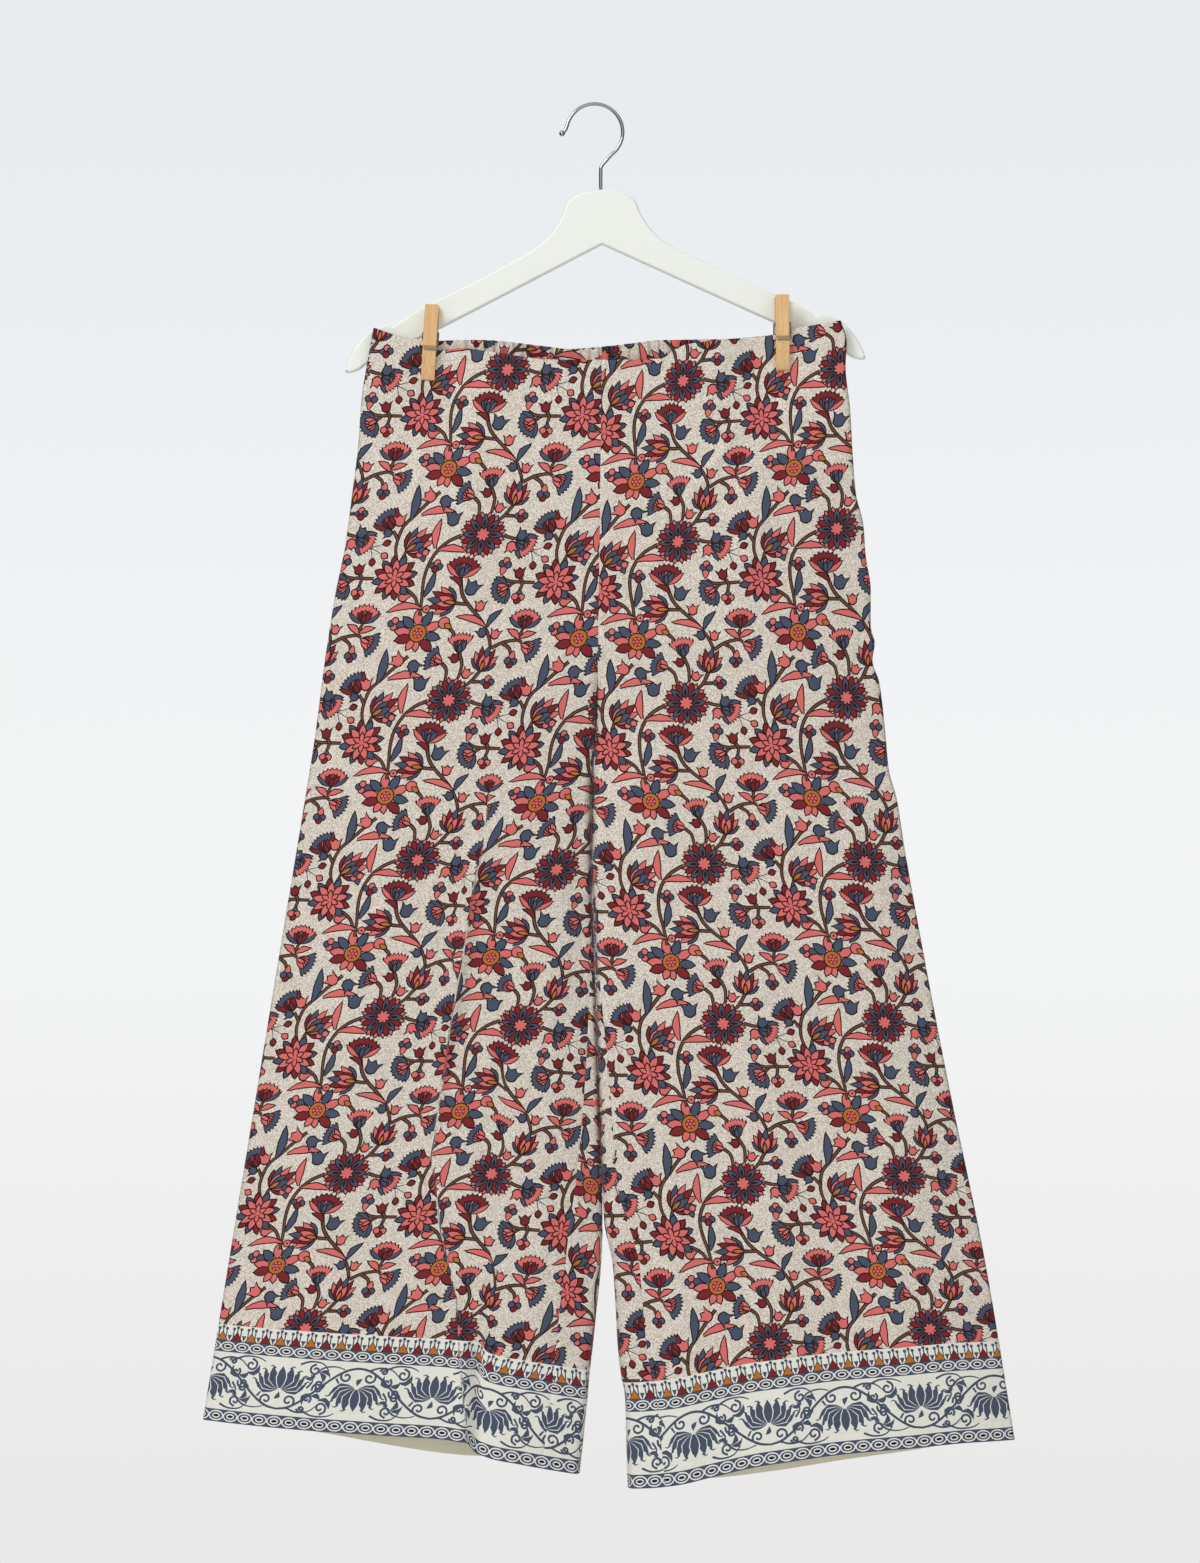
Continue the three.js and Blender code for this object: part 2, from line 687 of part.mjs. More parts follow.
// Coil between the legs, each end running down one flank and across the groove outside.
function springGeometry() {
  const flank = PEG_WIDTH / 2 + SPRING_WIRE_R + 0.4;
  const grooveY = 7.3 + SPRING_WIRE_R + 0.45;
  const coil = Array.from({ length: SPRING_TURNS * 8 + 5 }, (_, i) => {
    const angle = Math.PI + (i * Math.PI) / 4;
    const across = mix(flank, -flank, i / (SPRING_TURNS * 8 + 4));
    const [y, z] = [SPRING_COIL_R * Math.cos(angle), SPRING_COIL_R * Math.sin(angle)];
    return new THREE.Vector3(across, y, z - SPRING_S);
  });
  const arm = [
    { x: flank, y: grooveY - 2.2, s: GROOVE_S - 2.6 },
    { x: flank, y: grooveY - 0.4, s: GROOVE_S - 0.4 },
    { x: flank - 1.6, y: grooveY, s: GROOVE_S },
    { x: 0, y: grooveY, s: GROOVE_S },
    { x: -4.6, y: grooveY, s: GROOVE_S },
  ];
  const frontArm = arm.map(({ x, y, s }) => new THREE.Vector3(x, -y, -s)).reverse();
  const backArm = arm.map(({ x, y, s }) => new THREE.Vector3(-x, y, -s));
  return wire([...frontArm, ...coil, ...backArm], SPRING_WIRE_R, 6, 60);
}

// ---------- joining and cutting ----------
const wasm = await Module();
wasm.setup();

function toSolid(geometry) {
  const bare = geometry.clone();
  bare.deleteAttribute('normal');
  bare.deleteAttribute('uv');
  const merged = mergeVertices(bare, 1e-4);
  return new wasm.Manifold(new wasm.Mesh({
    numProp: 3,
    vertProperties: new Float32Array(merged.attributes.position.array),
    triVerts: new Uint32Array(merged.index.array),
  }));
}

function fromSolid(solid) {
  const { vertProperties, triVerts } = solid.getMesh();
  return meshGeometry(Array.from(vertProperties), Array.from(triVerts));
}

const subtract = (body, tool) => fromSolid(toSolid(body).subtract(toSolid(tool)));
const unite = (body, other) => fromSolid(toSolid(body).add(toSolid(other)));

// ---------- scene graph ----------
const fabric = new THREE.MeshStandardMaterial({ color: 0xd9c8b8, roughness: 0.9, metalness: 0 });
const paint = new THREE.MeshStandardMaterial({ color: 0xeef0ea, roughness: 0.4, metalness: 0 });
const wood = new THREE.MeshStandardMaterial({ color: 0xd9ab6c, roughness: 0.6, metalness: 0 });
const steel = new THREE.MeshStandardMaterial({ color: 0xb8bbbf, roughness: 0.25, metalness: 1 });

function named(name, geometry, material) {
  const mesh = new THREE.Mesh(geometry, material.clone());
  mesh.name = name;
  return mesh;
}

function buildPants() {
  const pants = new THREE.Group();
  const pieces = clothPieces();
  const normalAt = sharedNormals(pieces);
  for (const { name, points, triangles, seams } of pieces) {
    const normals = points.map(normalAt);
    squareNormals(normals, seams.square);
    pants.add(named(name, thicken(openSeams(points, seams.pairs), normals, triangles), fabric));
  }
  return pants;
}

function buildPeg({ side, x, z, lean }) {
  const peg = new THREE.Group();
  peg.add(named(`peg_${side}_front`, pegLegGeometry(-1), wood));
  peg.add(named(`peg_${side}_back`, pegLegGeometry(1), wood));
  peg.add(named(`peg_${side}_spring`, springGeometry(), steel));
  peg.rotation.y = THREE.MathUtils.degToRad(lean);
  peg.position.set(x, PLANE_Y, z);
  return peg;
}

const part = new THREE.Group();
part.add(named('hook', hookGeometry(), steel));
part.add(named('hanger_body', subtract(hangerGeometry(), stemHole()), paint));
for (const peg of PEGS) {
  part.add(buildPeg(peg));
}
part.add(buildPants());

export default part;
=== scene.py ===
"""Palazzo pants with a floral trail print, hung by two clothes-pegs from a white wooden hanger.

The frame is in metres. Sizes of the object are in millimetres, in the frame's axes, until a mesh is made;
the lights, the camera and the distances of bumps are in metres. Left and right are as seen from the front,
which faces -Y.
"""

import math

import bpy
import numpy as np
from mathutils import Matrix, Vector
from mathutils.bvhtree import BVHTree
from mathutils.geometry import delaunay_2d_cdt, tessellate_polygon


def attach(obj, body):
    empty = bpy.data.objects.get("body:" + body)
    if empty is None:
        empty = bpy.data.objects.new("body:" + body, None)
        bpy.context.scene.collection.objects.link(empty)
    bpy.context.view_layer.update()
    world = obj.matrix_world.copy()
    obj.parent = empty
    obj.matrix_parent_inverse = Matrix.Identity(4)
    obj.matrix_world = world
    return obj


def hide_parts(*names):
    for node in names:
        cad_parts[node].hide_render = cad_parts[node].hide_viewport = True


MM = 0.001
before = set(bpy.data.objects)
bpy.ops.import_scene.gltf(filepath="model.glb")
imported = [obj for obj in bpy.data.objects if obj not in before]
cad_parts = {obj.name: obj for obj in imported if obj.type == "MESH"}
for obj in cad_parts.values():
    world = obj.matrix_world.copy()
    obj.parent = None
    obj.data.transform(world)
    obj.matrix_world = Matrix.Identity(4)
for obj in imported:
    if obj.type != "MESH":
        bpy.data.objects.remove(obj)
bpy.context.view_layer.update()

# ---------- sizes of the cloth, as in the solids ----------
SEAM_GAP = 0.3
CROTCH_Z = -534.0
RISE = 350.0
INSEAM = 576.0
CASING = 25.0
FOLD_R = 1.8
GATHERS = 24
GATHER_AMP = 1.25
GATHER_FADE = 175.0
PINCH = 1.55
PLANE_Y = -14.5
PEG_LENGTH = 62.0
PEG_WIDTH = 11.3
PEGS = [
    {"side": "left", "x": -133.7, "z": -167.5, "lean": 3.4},
    {"side": "right", "x": 154.4, "z": -159.4, "lean": -0.65},
]
DRAPE = 1.024  # cloth to each mm of height below the crotch
OUTER = 0.7  # the printed side stands this far out from the middle of the solid's wall
CLOTH = 0.6  # thickness of the cloth
EDGE_KEPT = 0.56  # how far each leg's inner edge keeps off the other, with half a seam gap
HEM_STITCH = 16.5  # height of the hem's stitching
CLEFT = 8.0  # how far back the legs' inner edges are drawn where they touch
CLEFT_WIDE = 3.0  # how far in from the edge that reaches

# Outline tables: (height, place across).
SIDE = {
    "left": [
        (-186, -182.4), (-215, -187.6), (-246, -192.4), (-282, -194.9), (-322, -199.8), (-366, -205.8),
        (-409, -214.4), (-464, -222.9), (-521, -230.3), (-574, -238.7), (-700, -259.6), (-900, -292.5),
        (-1086, -322.9),
    ],
    "right": [
        (-180, 203.2), (-198, 208.1), (-217, 207.1), (-255, 211.0), (-288, 212.8), (-322, 215.5),
        (-348, 221.7), (-374, 223.7), (-402, 227.8), (-432, 227.8), (-446, 231.1), (-460, 229.2),
        (-478, 234.8), (-518, 239.7), (-550, 242.7), (-574, 249.2), (-616, 255.9), (-707, 272.3),
        (-814, 292.9), (-954, 321.8), (-1102, 346.5),
    ],
}
INNER_ABOVE = [
    (-180, 6.3), (-493, 2.1), (-526, 0.4), (-559, -2.1), (-616, -2.4), (-707, 0.4), (-900, 6.4),
]
INNER = {
    "left": INNER_ABOVE + [
        (-925, 6.7), (-956, 5.7), (-995, 1.8), (-1025, -1.2), (-1049, -4.0), (-1066, -5.4),
        (-1101, -9.0), (-1142, -13.4),
    ],
    "right": INNER_ABOVE + [
        (-925, 8.2), (-956, 14.6), (-995, 17.4), (-1025, 19.0), (-1049, 21.6), (-1066, 24.9),
        (-1101, 26.0), (-1142, 27.1),
    ],
}
# Upper edges: (place across, height).
TOP = {
    "front": [
        (-182.4, -186.0), (-162, -192.8), (-141, -196.7), (-129, -204.6), (-108, -203.0), (-93, -205.3),
        (-68, -209.3), (-37, -213.0), (11, -213.2), (55, -212.2), (66, -205.5), (76, -200.6),
        (115, -195.6), (146, -192.4), (161, -187.5), (182, -183.8), (203.2, -180.0),
    ],
    "back": [
        (-182.4, -186.0), (-162, -192.4), (-141, -196.6), (-93, -195.1), (-43, -199.8), (-21, -202.2),
        (4.5, -200.6), (32, -197.5), (52, -195.1), (115, -194.0), (146, -191.6), (161, -186.9),
        (182, -183.8), (203.2, -180.0),
    ],
}
# Hems: (place across, front height, back height).
HEM = {
    "left": [
        (-322.9, -1086.0, -1086.0), (-250, -1090.5, -1097.0), (-180, -1095.0, -1110.0),
        (-107, -1100.3, -1120.0), (-97, -1111.0, -1120.5), (-60, -1119.5, -1124.0),
        (-13.4, -1129.5, -1129.5),
    ],
    "right": [
        (27.1, -1141.2, -1141.2), (52, -1138.8, -1140.5), (95, -1129.5, -1139.0),
        (140, -1119.4, -1134.0), (200, -1111.0, -1125.0), (260, -1106.0, -1116.0),
        (310, -1102.8, -1106.5), (346.5, -1102.5, -1102.5),
    ],
}
# How far the inseam sits round on the front: (height, left leg, right leg).
INSEAM_WRAP = [
    (-534, 0, 0), (-640, 0, 0), (-740, 5.5, 4.0), (-806, 11.0, 8.5), (-895, 21.5, 12.5),
    (-936, 27.5, 20.5), (-1000, 29.5, 22.0), (-1060, 29.0, 25.0), (-1142, 31.5, 30.5),
]
# Middle depth of the walls: (row, front, back).
DEPTH = [(0, 8, 8), (60, 10, 10), (200, 15, 15), (350, 15, 16), (620, 15, 16), (800, 18, 18), (926, 23, 23)]

# Folds: x and z at the upper end, x and z at the lower end, half width, height out of the cloth.
FOLDS = {
    ("left", "front"): [
        (-90, -600, -126, -800, 9, 3.5),
        (-109, -1000, -111, -1190, 9, 5.0),
        (-93, -1000, -95, -1190, 9, -5.0),
        (-118, -225, -92, -420, 16, 2.5),
        (-185, -620, -232, -1000, 24, 2.2),
    ],
    ("right", "front"): [
        (143, -225, 118, -420, 16, 2.5),
        (120, -640, 168, -1190, 26, 4.0),
        (62, -880, 78, -1190, 13, 2.8),
        (215, -560, 275, -1040, 26, 2.4),
    ],
    ("left", "back"): [
        (-150, -520, -205, -1190, 28, 4.0),
        (-60, -560, -85, -1190, 20, 3.0),
    ],
    ("right", "back"): [
        (150, -520, 215, -1190, 28, 4.0),
        (66, -560, 92, -1190, 20, 3.0),
    ],
}
# Small creases in the same columns, in the render only.
CREASES = {
    ("left", "front"): [
        (-122, -238, -58, -330, 6, 1.9),
        (-138, -240, -150, -340, 6, 1.9),
        (-150, -240, -176, -330, 6, 1.4),
        (-176, -190, -186, -255, 2.5, 1.3),
        (-93, -585, -137, -868, 6, 3.4),
        (-103, -585, -147, -868, 7, -1.3),
        (-20, -420, -26, -560, 8, -0.7),
        (-22, -560, -30, -760, 10, 1.0),
        (-60, -700, -84, -860, 7, -0.8),
        (-150, -760, -168, -960, 10, -0.8),
        (-250, -880, -268, -1080, 12, 0.9),
        (-42, -900, -58, -1090, 8, 0.9),
    ],
    ("right", "front"): [
        (142, -236, 70, -340, 6, 1.8),
        (160, -236, 176, -330, 6, 1.8),
        (172, -226, 200, -300, 6, 0.9),
        (24, -520, 34, -760, 9, 0.9),
        (90, -760, 108, -960, 9, -0.8),
        (190, -700, 214, -900, 12, -0.9),
        (232, -880, 262, -1120, 11, 1.0),
        (44, -900, 50, -1120, 7, -0.9),
    ],
    ("left", "back"): [
        (-100, -640, -128, -900, 10, 0.9),
        (-215, -700, -262, -1060, 12, -0.9),
        (-30, -600, -40, -1000, 9, 0.8),
    ],
    ("right", "back"): [
        (108, -640, 140, -900, 10, -0.9),
        (225, -680, 275, -1060, 12, 0.9),
        (34, -600, 46, -1000, 9, 0.8),
    ],
}

# ---------- where the print lies ----------
REPEAT = 132.5
# How far the rows of the print climb towards the side seam, as slopes: (q, slope).
TILT = {
    ("left", "front"): [
        (37, 0.0), (170, 0.02), (302, 0.035), (435, 0.027), (567, -0.008), (700, -0.035), (832, -0.045),
    ],
    ("right", "front"): [
        (47, 0.085), (178, 0.085), (311, 0.035), (446, -0.011), (581, -0.04), (716, -0.022), (860, 0),
    ],
    ("left", "back"): [(0, 0.02), (900, 0.0)],
    ("right", "back"): [(0, 0.02), (900, 0.0)],
}
# How far the print is drawn out down each front.
STRETCH = {("left", "front"): 1.026}
# The line down each piece that the columns of stars follow: (row, t from the side seam).
REFERENCE = {
    ("left", "front"): [
        (15, 0.594), (157, 0.538), (299, 0.470), (433, 0.42), (562, 0.355), (692, 0.296), (821, 0.238),
        (905, 0.228),
    ],
    ("right", "front"): [
        (37, 0.667), (173, 0.706), (309, 0.69), (440, 0.646), (569, 0.63), (698, 0.617), (827, 0.604),
    ],
    ("left", "back"): [(0, 0.62), (926, 0.45)],
    ("right", "back"): [(0, 0.40), (926, 0.52)],
}
# Of each piece: how far down its first star is, and how far across a lotus of its border.
FIRST_STAR = {
    ("left", "front"): 37.5, ("right", "front"): 46.7, ("left", "back"): 96.0, ("right", "back"): 22.0,
}
BORDER_PHASE = {
    ("left", "front"): -12.0, ("right", "front"): -8.4, ("left", "back"): 30.0, ("right", "back"): -20.0,
}
# The oblique fold on the left front hides a strip of the print: (q, p of its line, width hidden).
TUCK = [
    (360, 46, 0), (430, 50, 15), (523, 55, 15), (627, 60, 15), (698, 64, 15), (760, 86, 13),
    (820, 116, 10), (940, 149, 9),
]
TUCK_SHOWS = 2.0
# Heights in the border, up from the hem, and its two pitches.
BORDER_TOP = 84.5
LOTUS_PITCH = 126.0
BEAD_PITCH = 12.6

# ---------- colours (sRGB) ----------
CREAM, BLUE, INK, CORAL, MAROON, OCHRE, STEM, PALE, WHITE = range(9)
COLOURS = {
    CREAM: (0.930, 0.900, 0.850),
    BLUE: (0.275, 0.310, 0.385),
    INK: (0.140, 0.085, 0.090),
    CORAL: (0.830, 0.415, 0.400),
    MAROON: (0.470, 0.135, 0.150),
    OCHRE: (0.700, 0.420, 0.160),
    STEM: (0.400, 0.265, 0.205),
    PALE: (0.880, 0.872, 0.825),
    WHITE: (0.890, 0.885, 0.855),
}


def linear(colour):
    """The linear light of an sRGB colour."""
    return [c / 12.92 if c <= 0.04045 else ((c + 0.055) / 1.055) ** 2.4 for c in colour]


def opaque(*colour):
    return tuple(linear(colour) + [1.0])


# Dyes, and a painted seam shadow: the alpha is 1 where the ground's taupe dashes show.
GROUND = linear(COLOURS[CREAM]) + [1.0]
LINEAR = {key: linear(value) + [0.0] for key, value in COLOURS.items()}
LINEAR[CREAM] = GROUND
INSIDE = linear((0.93, 0.905, 0.80)) + [0.5]
# A painted seam shadow: the dark colour of the cut edges beside the seams, standing in for the shade in the
# gap between panels.
PAINTED_SEAM_SHADE = linear((0.40, 0.34, 0.32)) + [0.5]


# ---------- interpolation ----------
def mix(a, b, t):
    return a + (b - a) * t


def ease(t):
    c = np.clip(t, 0.0, 1.0)
    return c * c * (3 - 2 * c)


def smooth_curve(rows, column=1):
    """A function that runs smoothly, without overshoot, through the rows' first and given columns."""
    rows = sorted(rows)
    xs = np.array([row[0] for row in rows], float)
    ys = np.array([row[column] for row in rows], float)
    rise = np.diff(ys) / np.diff(xs)
    slope = np.concatenate([rise[:1], np.zeros(len(xs) - 2), rise[-1:]])
    before, after = rise[:-1], rise[1:]
    same = before * after > 0
    slope[1:-1][same] = 2 * before[same] * after[same] / (before + after)[same]

    def value(at):
        at = np.clip(at, xs[0], xs[-1])
        i = np.clip(np.searchsorted(xs, at, side="right") - 1, 0, len(xs) - 2)
        run = xs[i + 1] - xs[i]
        t = (at - xs[i]) / run
        straight = (1 + 2 * t) * (1 - t) ** 2 * ys[i] + t * t * (3 - 2 * t) * ys[i + 1]
        return straight + run * (t * (1 - t) ** 2 * slope[i] + t * t * (t - 1) * slope[i + 1])

    return value


def even(count):
    """The steps of smooth_line for that many places on every stretch, at even distances."""
    return np.arange(count) / count


def smooth_line(points, steps):
    """A smooth line through the points, with a place at each of the steps, 0 to 1, of every stretch."""
    knots = np.array([points[0]] + list(points) + [points[-1]], float)
    line = []
    for k in range(1, len(knots) - 2):
        a, b, c, d = knots[k - 1:k + 3]
        for t in steps:
            line.append(0.5 * (2 * b + (c - a) * t + (2 * a - 5 * b + 4 * c - d) * t * t
                               + (3 * b - a - 3 * c + d) * t ** 3))
    return np.array(line + [knots[-1]])


side_x = {leg: smooth_curve(SIDE[leg]) for leg in SIDE}
inner_x = {leg: smooth_curve(INNER[leg]) for leg in INNER}
top_z = {face: smooth_curve(TOP[face]) for face in TOP}
hem_z = {(leg, face): smooth_curve(HEM[leg], 1 + (face == "back")) for leg in HEM for face in TOP}
wrap_at = {"left": smooth_curve(INSEAM_WRAP, 1), "right": smooth_curve(INSEAM_WRAP, 2)}
depth_at = {"front": smooth_curve(DEPTH, 1), "back": smooth_curve(DEPTH, 2)}
OUTWARD = {"left": -1, "right": 1}


# ---------- the drape, the same functions that shape the solids ----------
def rounded(distance, radius):
    """A quarter circle's rise, from 0 at an edge to 1 at the radius."""
    t = np.clip(distance / radius, 0.0, 1.0)
    return np.sqrt(1 - (1 - t) ** 2)


def arched(distance, reach):
    """A parabola's rise, from 0 at an edge to 1 at its reach."""
    t = np.clip(distance / reach, 0.0, 1.0)
    return 1 - (1 - t) ** 2


def row_height(leg, face, t, v):
    """Height of a place across a leg (t from the side seam to the inner edge) on row v."""
    top_x = mix(SIDE[leg][0][1], INNER[leg][0][1], t)
    hem_x = mix(SIDE[leg][-1][1], INNER[leg][-1][1], t)
    above = mix(top_z[face](top_x), CROTCH_Z, v / RISE)
    below = mix(CROTCH_Z, hem_z[leg, face](hem_x), (v - RISE) / INSEAM)
    return np.where(v <= RISE, above, below)


def closing(v):
    """0 over the hips, which are one space, up to 1 at the crotch, where each leg closes on itself."""
    return ease((v - 255) / (RISE - 255))


def pinching(x, z):
    """How far the pegs press front and back together at a place, 0 to 1."""
    most = np.zeros_like(x)
    for peg in PEGS:
        dx = np.abs(x - (peg["x"] - math.tan(math.radians(peg["lean"])) * 45))
        outside = (x - peg["x"]) * np.sign(peg["x"]) > 0
        across = 1 - ease((dx - 10) / np.where(outside, 75, 48))
        down = 1 - ease((peg["z"] - PEG_LENGTH - 8 - z) / 95)
        most = np.maximum(most, across * down)
    return most


def relief(folds, leg, face, x, z):
    """Height of the folds out of the cloth at a place."""
    height = np.zeros_like(x)
    for x0, z0, x1, z1, width, out in folds[leg, face]:
        t = (z - z0) / (z1 - z0)
        away = (x - mix(x0, x1, t)) / width
        height += out * np.exp(-away * away) * ease(t * 5) * ease((1 - t) * 5)
    return height


def leg_edges(leg, v):
    """Places across of the side seam and the inner edge on row v."""
    sign = OUTWARD[leg]
    outer = side_x[leg](row_height(leg, "front", np.zeros_like(v), v)) - sign * OUTER
    keep = SEAM_GAP / 2 + EDGE_KEPT * ease(closing(v) * 2.2)
    inner = inner_x[leg](row_height(leg, "front", np.ones_like(v), v)) + sign * keep
    return outer, inner


def puckers(d, z):
    """Small ripples along the side seams and the hem stitching."""
    wave = np.sin(z / 2.9 + 1.7 * np.sin(z / 23.0)) * (0.6 + 0.4 * np.sin(z / 41.0))
    return 0.32 * wave * np.exp(-d / 7.0) * rounded(d, 1.5)


def grooves(leg, face, inset, v):
    """Depth of the dip along the centre seams, the inseams and the hem's stitching."""
    stitch = 0.22 * np.exp(-((((RISE + INSEAM - v) * DRAPE - HEM_STITCH) / 0.9) ** 2))
    if face == "back":
        return stitch + np.where(v > RISE, 0.0, 0.8 * np.exp(-np.abs(inset) / 1.4))
    wrap = wrap_at[leg](row_height(leg, "front", np.ones_like(v), v))
    return stitch + 0.8 * np.exp(-np.abs(inset - np.where(v > RISE, wrap, 0.0)) / 1.4)


def drawn_back(inset, v):
    """How much of the cleft's depth a place between the legs has, 0 to 1."""
    return (1 - ease(inset / CLEFT_WIDE)) * ease((v - RISE) / 40) * (1 - ease((v - 650) / 50))


def cloth_points(leg, face, inset, v, cleft=0.0):
    """Middle of the wall at a distance in from the inner edge, on row v."""
    shut = closing(v)
    outer, inner = leg_edges(leg, v)
    width = np.abs(outer - inner)
    d = width - inset
    t = np.clip(d / width, 0, 1)
    x = mix(outer, inner, t)
    z = row_height(leg, face, t, v)
    lean = (3 if leg == "left" else -3.5) * ease((v - RISE) / 110) * (1 - ease((v - 720) / 150))
    middle = PLANE_Y + lean * (1 - ease(inset / 45))
    pinch = pinching(x, z)
    free = FOLD_R + (depth_at[face](v) - FOLD_R) * arched(d, 115)
    near_inner = mix(1.0, mix(0.45, 1.0, arched(inset, 70)), shut)
    edge = rounded(d, FOLD_R) * mix(1.0, rounded(inset, 5), shut)
    folds = relief(FOLDS, leg, face, x, z) + relief(CREASES, leg, face, x, z)
    folds = folds * (1 - pinch) * arched(d, 20) * mix(1.0, arched(inset, 12), shut)
    folds = folds + puckers(d, z) * (1 - pinch)
    depth = edge * (mix(free * near_inner, PINCH, pinch) + folds - grooves(leg, face, inset, v))
    drawn = drawn_back(inset, v)
    middle = middle + cleft * drawn
    if face == "front":
        return np.stack([x, middle - depth, z], axis=-1)
    if cleft:
        depth = depth * (1 - drawn)
    calm = (1 - ease((v - CASING - 25) / (GATHER_FADE - CASING - 25))) * (1 - 0.85 * pinch**2)
    uneven = 0.8 + 0.3 * np.sin(x / 17.0) + 0.2 * np.sin(x / 7.3 + 1.0)
    wave = np.cos(2 * np.pi * GATHERS * d / width) * GATHER_AMP * calm * uneven * rounded(d, 4)
    return np.stack([x, middle + depth + wave, z], axis=-1)


def panel_points(leg, face, e, v, cleft=0.0):
    """As cloth_points, with e below zero round on the front of a back panel."""
    if face == "front":
        return cloth_points(leg, face, e, v, cleft)
    behind = cloth_points(leg, "back", np.abs(e), v, cleft)
    before = cloth_points(leg, "front", np.abs(e), v, cleft)
    return np.where((e < 0)[..., None], before, behind)


class Panel:
    """A flat piece of cloth and where each of its points hangs.

    Flat coordinates are p, across from the printed reference line, and q, down, both in mm.
    """

    ROWS = 260
    COLUMNS = 150

    def __init__(self, leg, face, first_row, last_row, reference):
        self.leg, self.face = leg, face
        self.sign = OUTWARD[leg] if face == "front" else -OUTWARD[leg]
        v = np.linspace(first_row, last_row, self.ROWS)
        fraction = np.linspace(0, 1, self.COLUMNS)
        fraction = mix(fraction, 0.5 - 0.5 * np.cos(np.pi * fraction), 0.75)
        outer, inner = leg_edges(leg, v)
        width = np.abs(outer - inner)
        wrap = np.where(v > RISE, wrap_at[leg](row_height(leg, "front", np.ones_like(v), v)), 0.0)
        low = wrap if face == "front" else -wrap
        e = low[:, None] + (width - low)[:, None] * fraction[None, :]
        rows = np.repeat(v[:, None], self.COLUMNS, axis=1)
        points = panel_points(leg, face, e, rows)
        step = np.linalg.norm(np.diff(points, axis=1), axis=2)
        along = np.concatenate([np.zeros((self.ROWS, 1)), np.cumsum(step, axis=1)], axis=1)
        self.v, self.e, self.along = v, e, along
        self.total = along[:, -1]
        # Along the row from the inner edge to the reference line.
        share = 1 - np.interp(v, *zip(*reference))
        at_reference = width * share
        self.zero = np.array([np.interp(at_reference[j], e[j], along[j]) for j in range(self.ROWS)])
        shares = np.linspace(0, 1, 500)
        self.lookup = np.array([np.interp(shares * along[j, -1], along[j], e[j]) for j in range(self.ROWS)])

    def q_of(self, t, v):
        """Distance down the flat cloth of row v."""
        z = row_height(self.leg, self.face, t, v)
        return np.where(v <= RISE, RISE - (z - CROTCH_Z), RISE + (v - RISE) * DRAPE)

    def border(self, count_down, count_across):
        """The panel's outline in flat coordinates, as one ring."""
        v0, v1 = self.v[0], self.v[-1]
        down = np.linspace(v0, v1, count_down)
        across = np.linspace(0, 1, count_across)
        ring = [(0.0, v) for v in down]
        ring += [(a, v1) for a in across[1:]]
        ring += [(1.0, v) for v in down[::-1][1:]]
        ring += [(a, v0) for a in across[::-1][1:-1]]
        corners = self.flat(np.array([r[0] for r in ring]), np.array([r[1] for r in ring]))
        return corners if self.sign < 0 else corners[::-1]

    def flat(self, fraction, v):
        """Flat coordinates of a place on row v, at a fraction of the way from its inner edge."""
        total = np.interp(v, self.v, self.total)
        zero = np.interp(v, self.v, self.zero)
        p = self.sign * (fraction * total - zero)
        return np.stack([p, self.q_of(self.across(fraction, v), v)], axis=-1)

    def across(self, fraction, v):
        """t, from the side seam to the inner edge, of a fraction of the row."""
        e = self.inset(fraction, v)
        outer, inner = leg_edges(self.leg, v)
        width = np.abs(outer - inner)
        return np.clip((width - np.abs(e)) / width, 0, 1)

    def inset(self, fraction, v):
        """e, as in panel_points, of a fraction of the row."""
        row = np.interp(v, self.v, np.arange(self.ROWS))
        j = np.clip(row.astype(int), 0, self.ROWS - 2)
        k_real = np.clip(fraction, 0, 1) * (self.lookup.shape[1] - 1)
        k = np.clip(k_real.astype(int), 0, self.lookup.shape[1] - 2)
        a, b = row - j, k_real - k
        table = self.lookup
        upper = table[j, k] * (1 - b) + table[j, k + 1] * b
        lower = table[j + 1, k] * (1 - b) + table[j + 1, k + 1] * b
        return upper * (1 - a) + lower * a

    def rows_of(self, p, q):
        """Fraction and row of flat coordinates."""
        v = np.where(q <= RISE, q, RISE + (q - RISE) / DRAPE)
        for _ in range(3):
            v = np.clip(v, self.v[0], self.v[-1])
            total = np.interp(v, self.v, self.total)
            zero = np.interp(v, self.v, self.zero)
            fraction = np.clip((self.sign * p + zero) / total, 0, 1)
            t = self.across(fraction, v)
            top = row_height(self.leg, self.face, t, np.zeros_like(v))
            above = RISE * (1 - (RISE - q) / (top - CROTCH_Z))
            v = np.where(q <= RISE, above, RISE + (q - RISE) / DRAPE)
        return fraction, np.clip(v, self.v[0], self.v[-1])

    def hang(self, p, q):
        fraction, v = self.rows_of(p, q)
        return panel_points(self.leg, self.face, self.inset(fraction, v), v, CLEFT)

    def normals(self, p, q, step=0.4):
        """Unit normals out of the printed side."""
        across = self.hang(p + step, q) - self.hang(p - step, q)
        down = self.hang(p, q + step) - self.hang(p, q - step)
        normal = np.cross(down, across)
        at_side = self.rows_of(p, q)[0] > 1 - 1e-4
        normal[at_side, 1] = 0.0
        normal /= np.maximum(np.linalg.norm(normal, axis=1, keepdims=True), 1e-9)
        outward = -1.0 if self.face == "front" else 1.0
        return normal * np.sign(outward * np.median(normal[:, 1]))


# ---------- motifs: lists of (colour, ring) in mm, x right, y down, later ones on top ----------
OUTLINE = 1.05
PETAL = [(0.0, 0.14), (0.25, 0.75), (0.5, 1.0), (0.76, 0.72)]


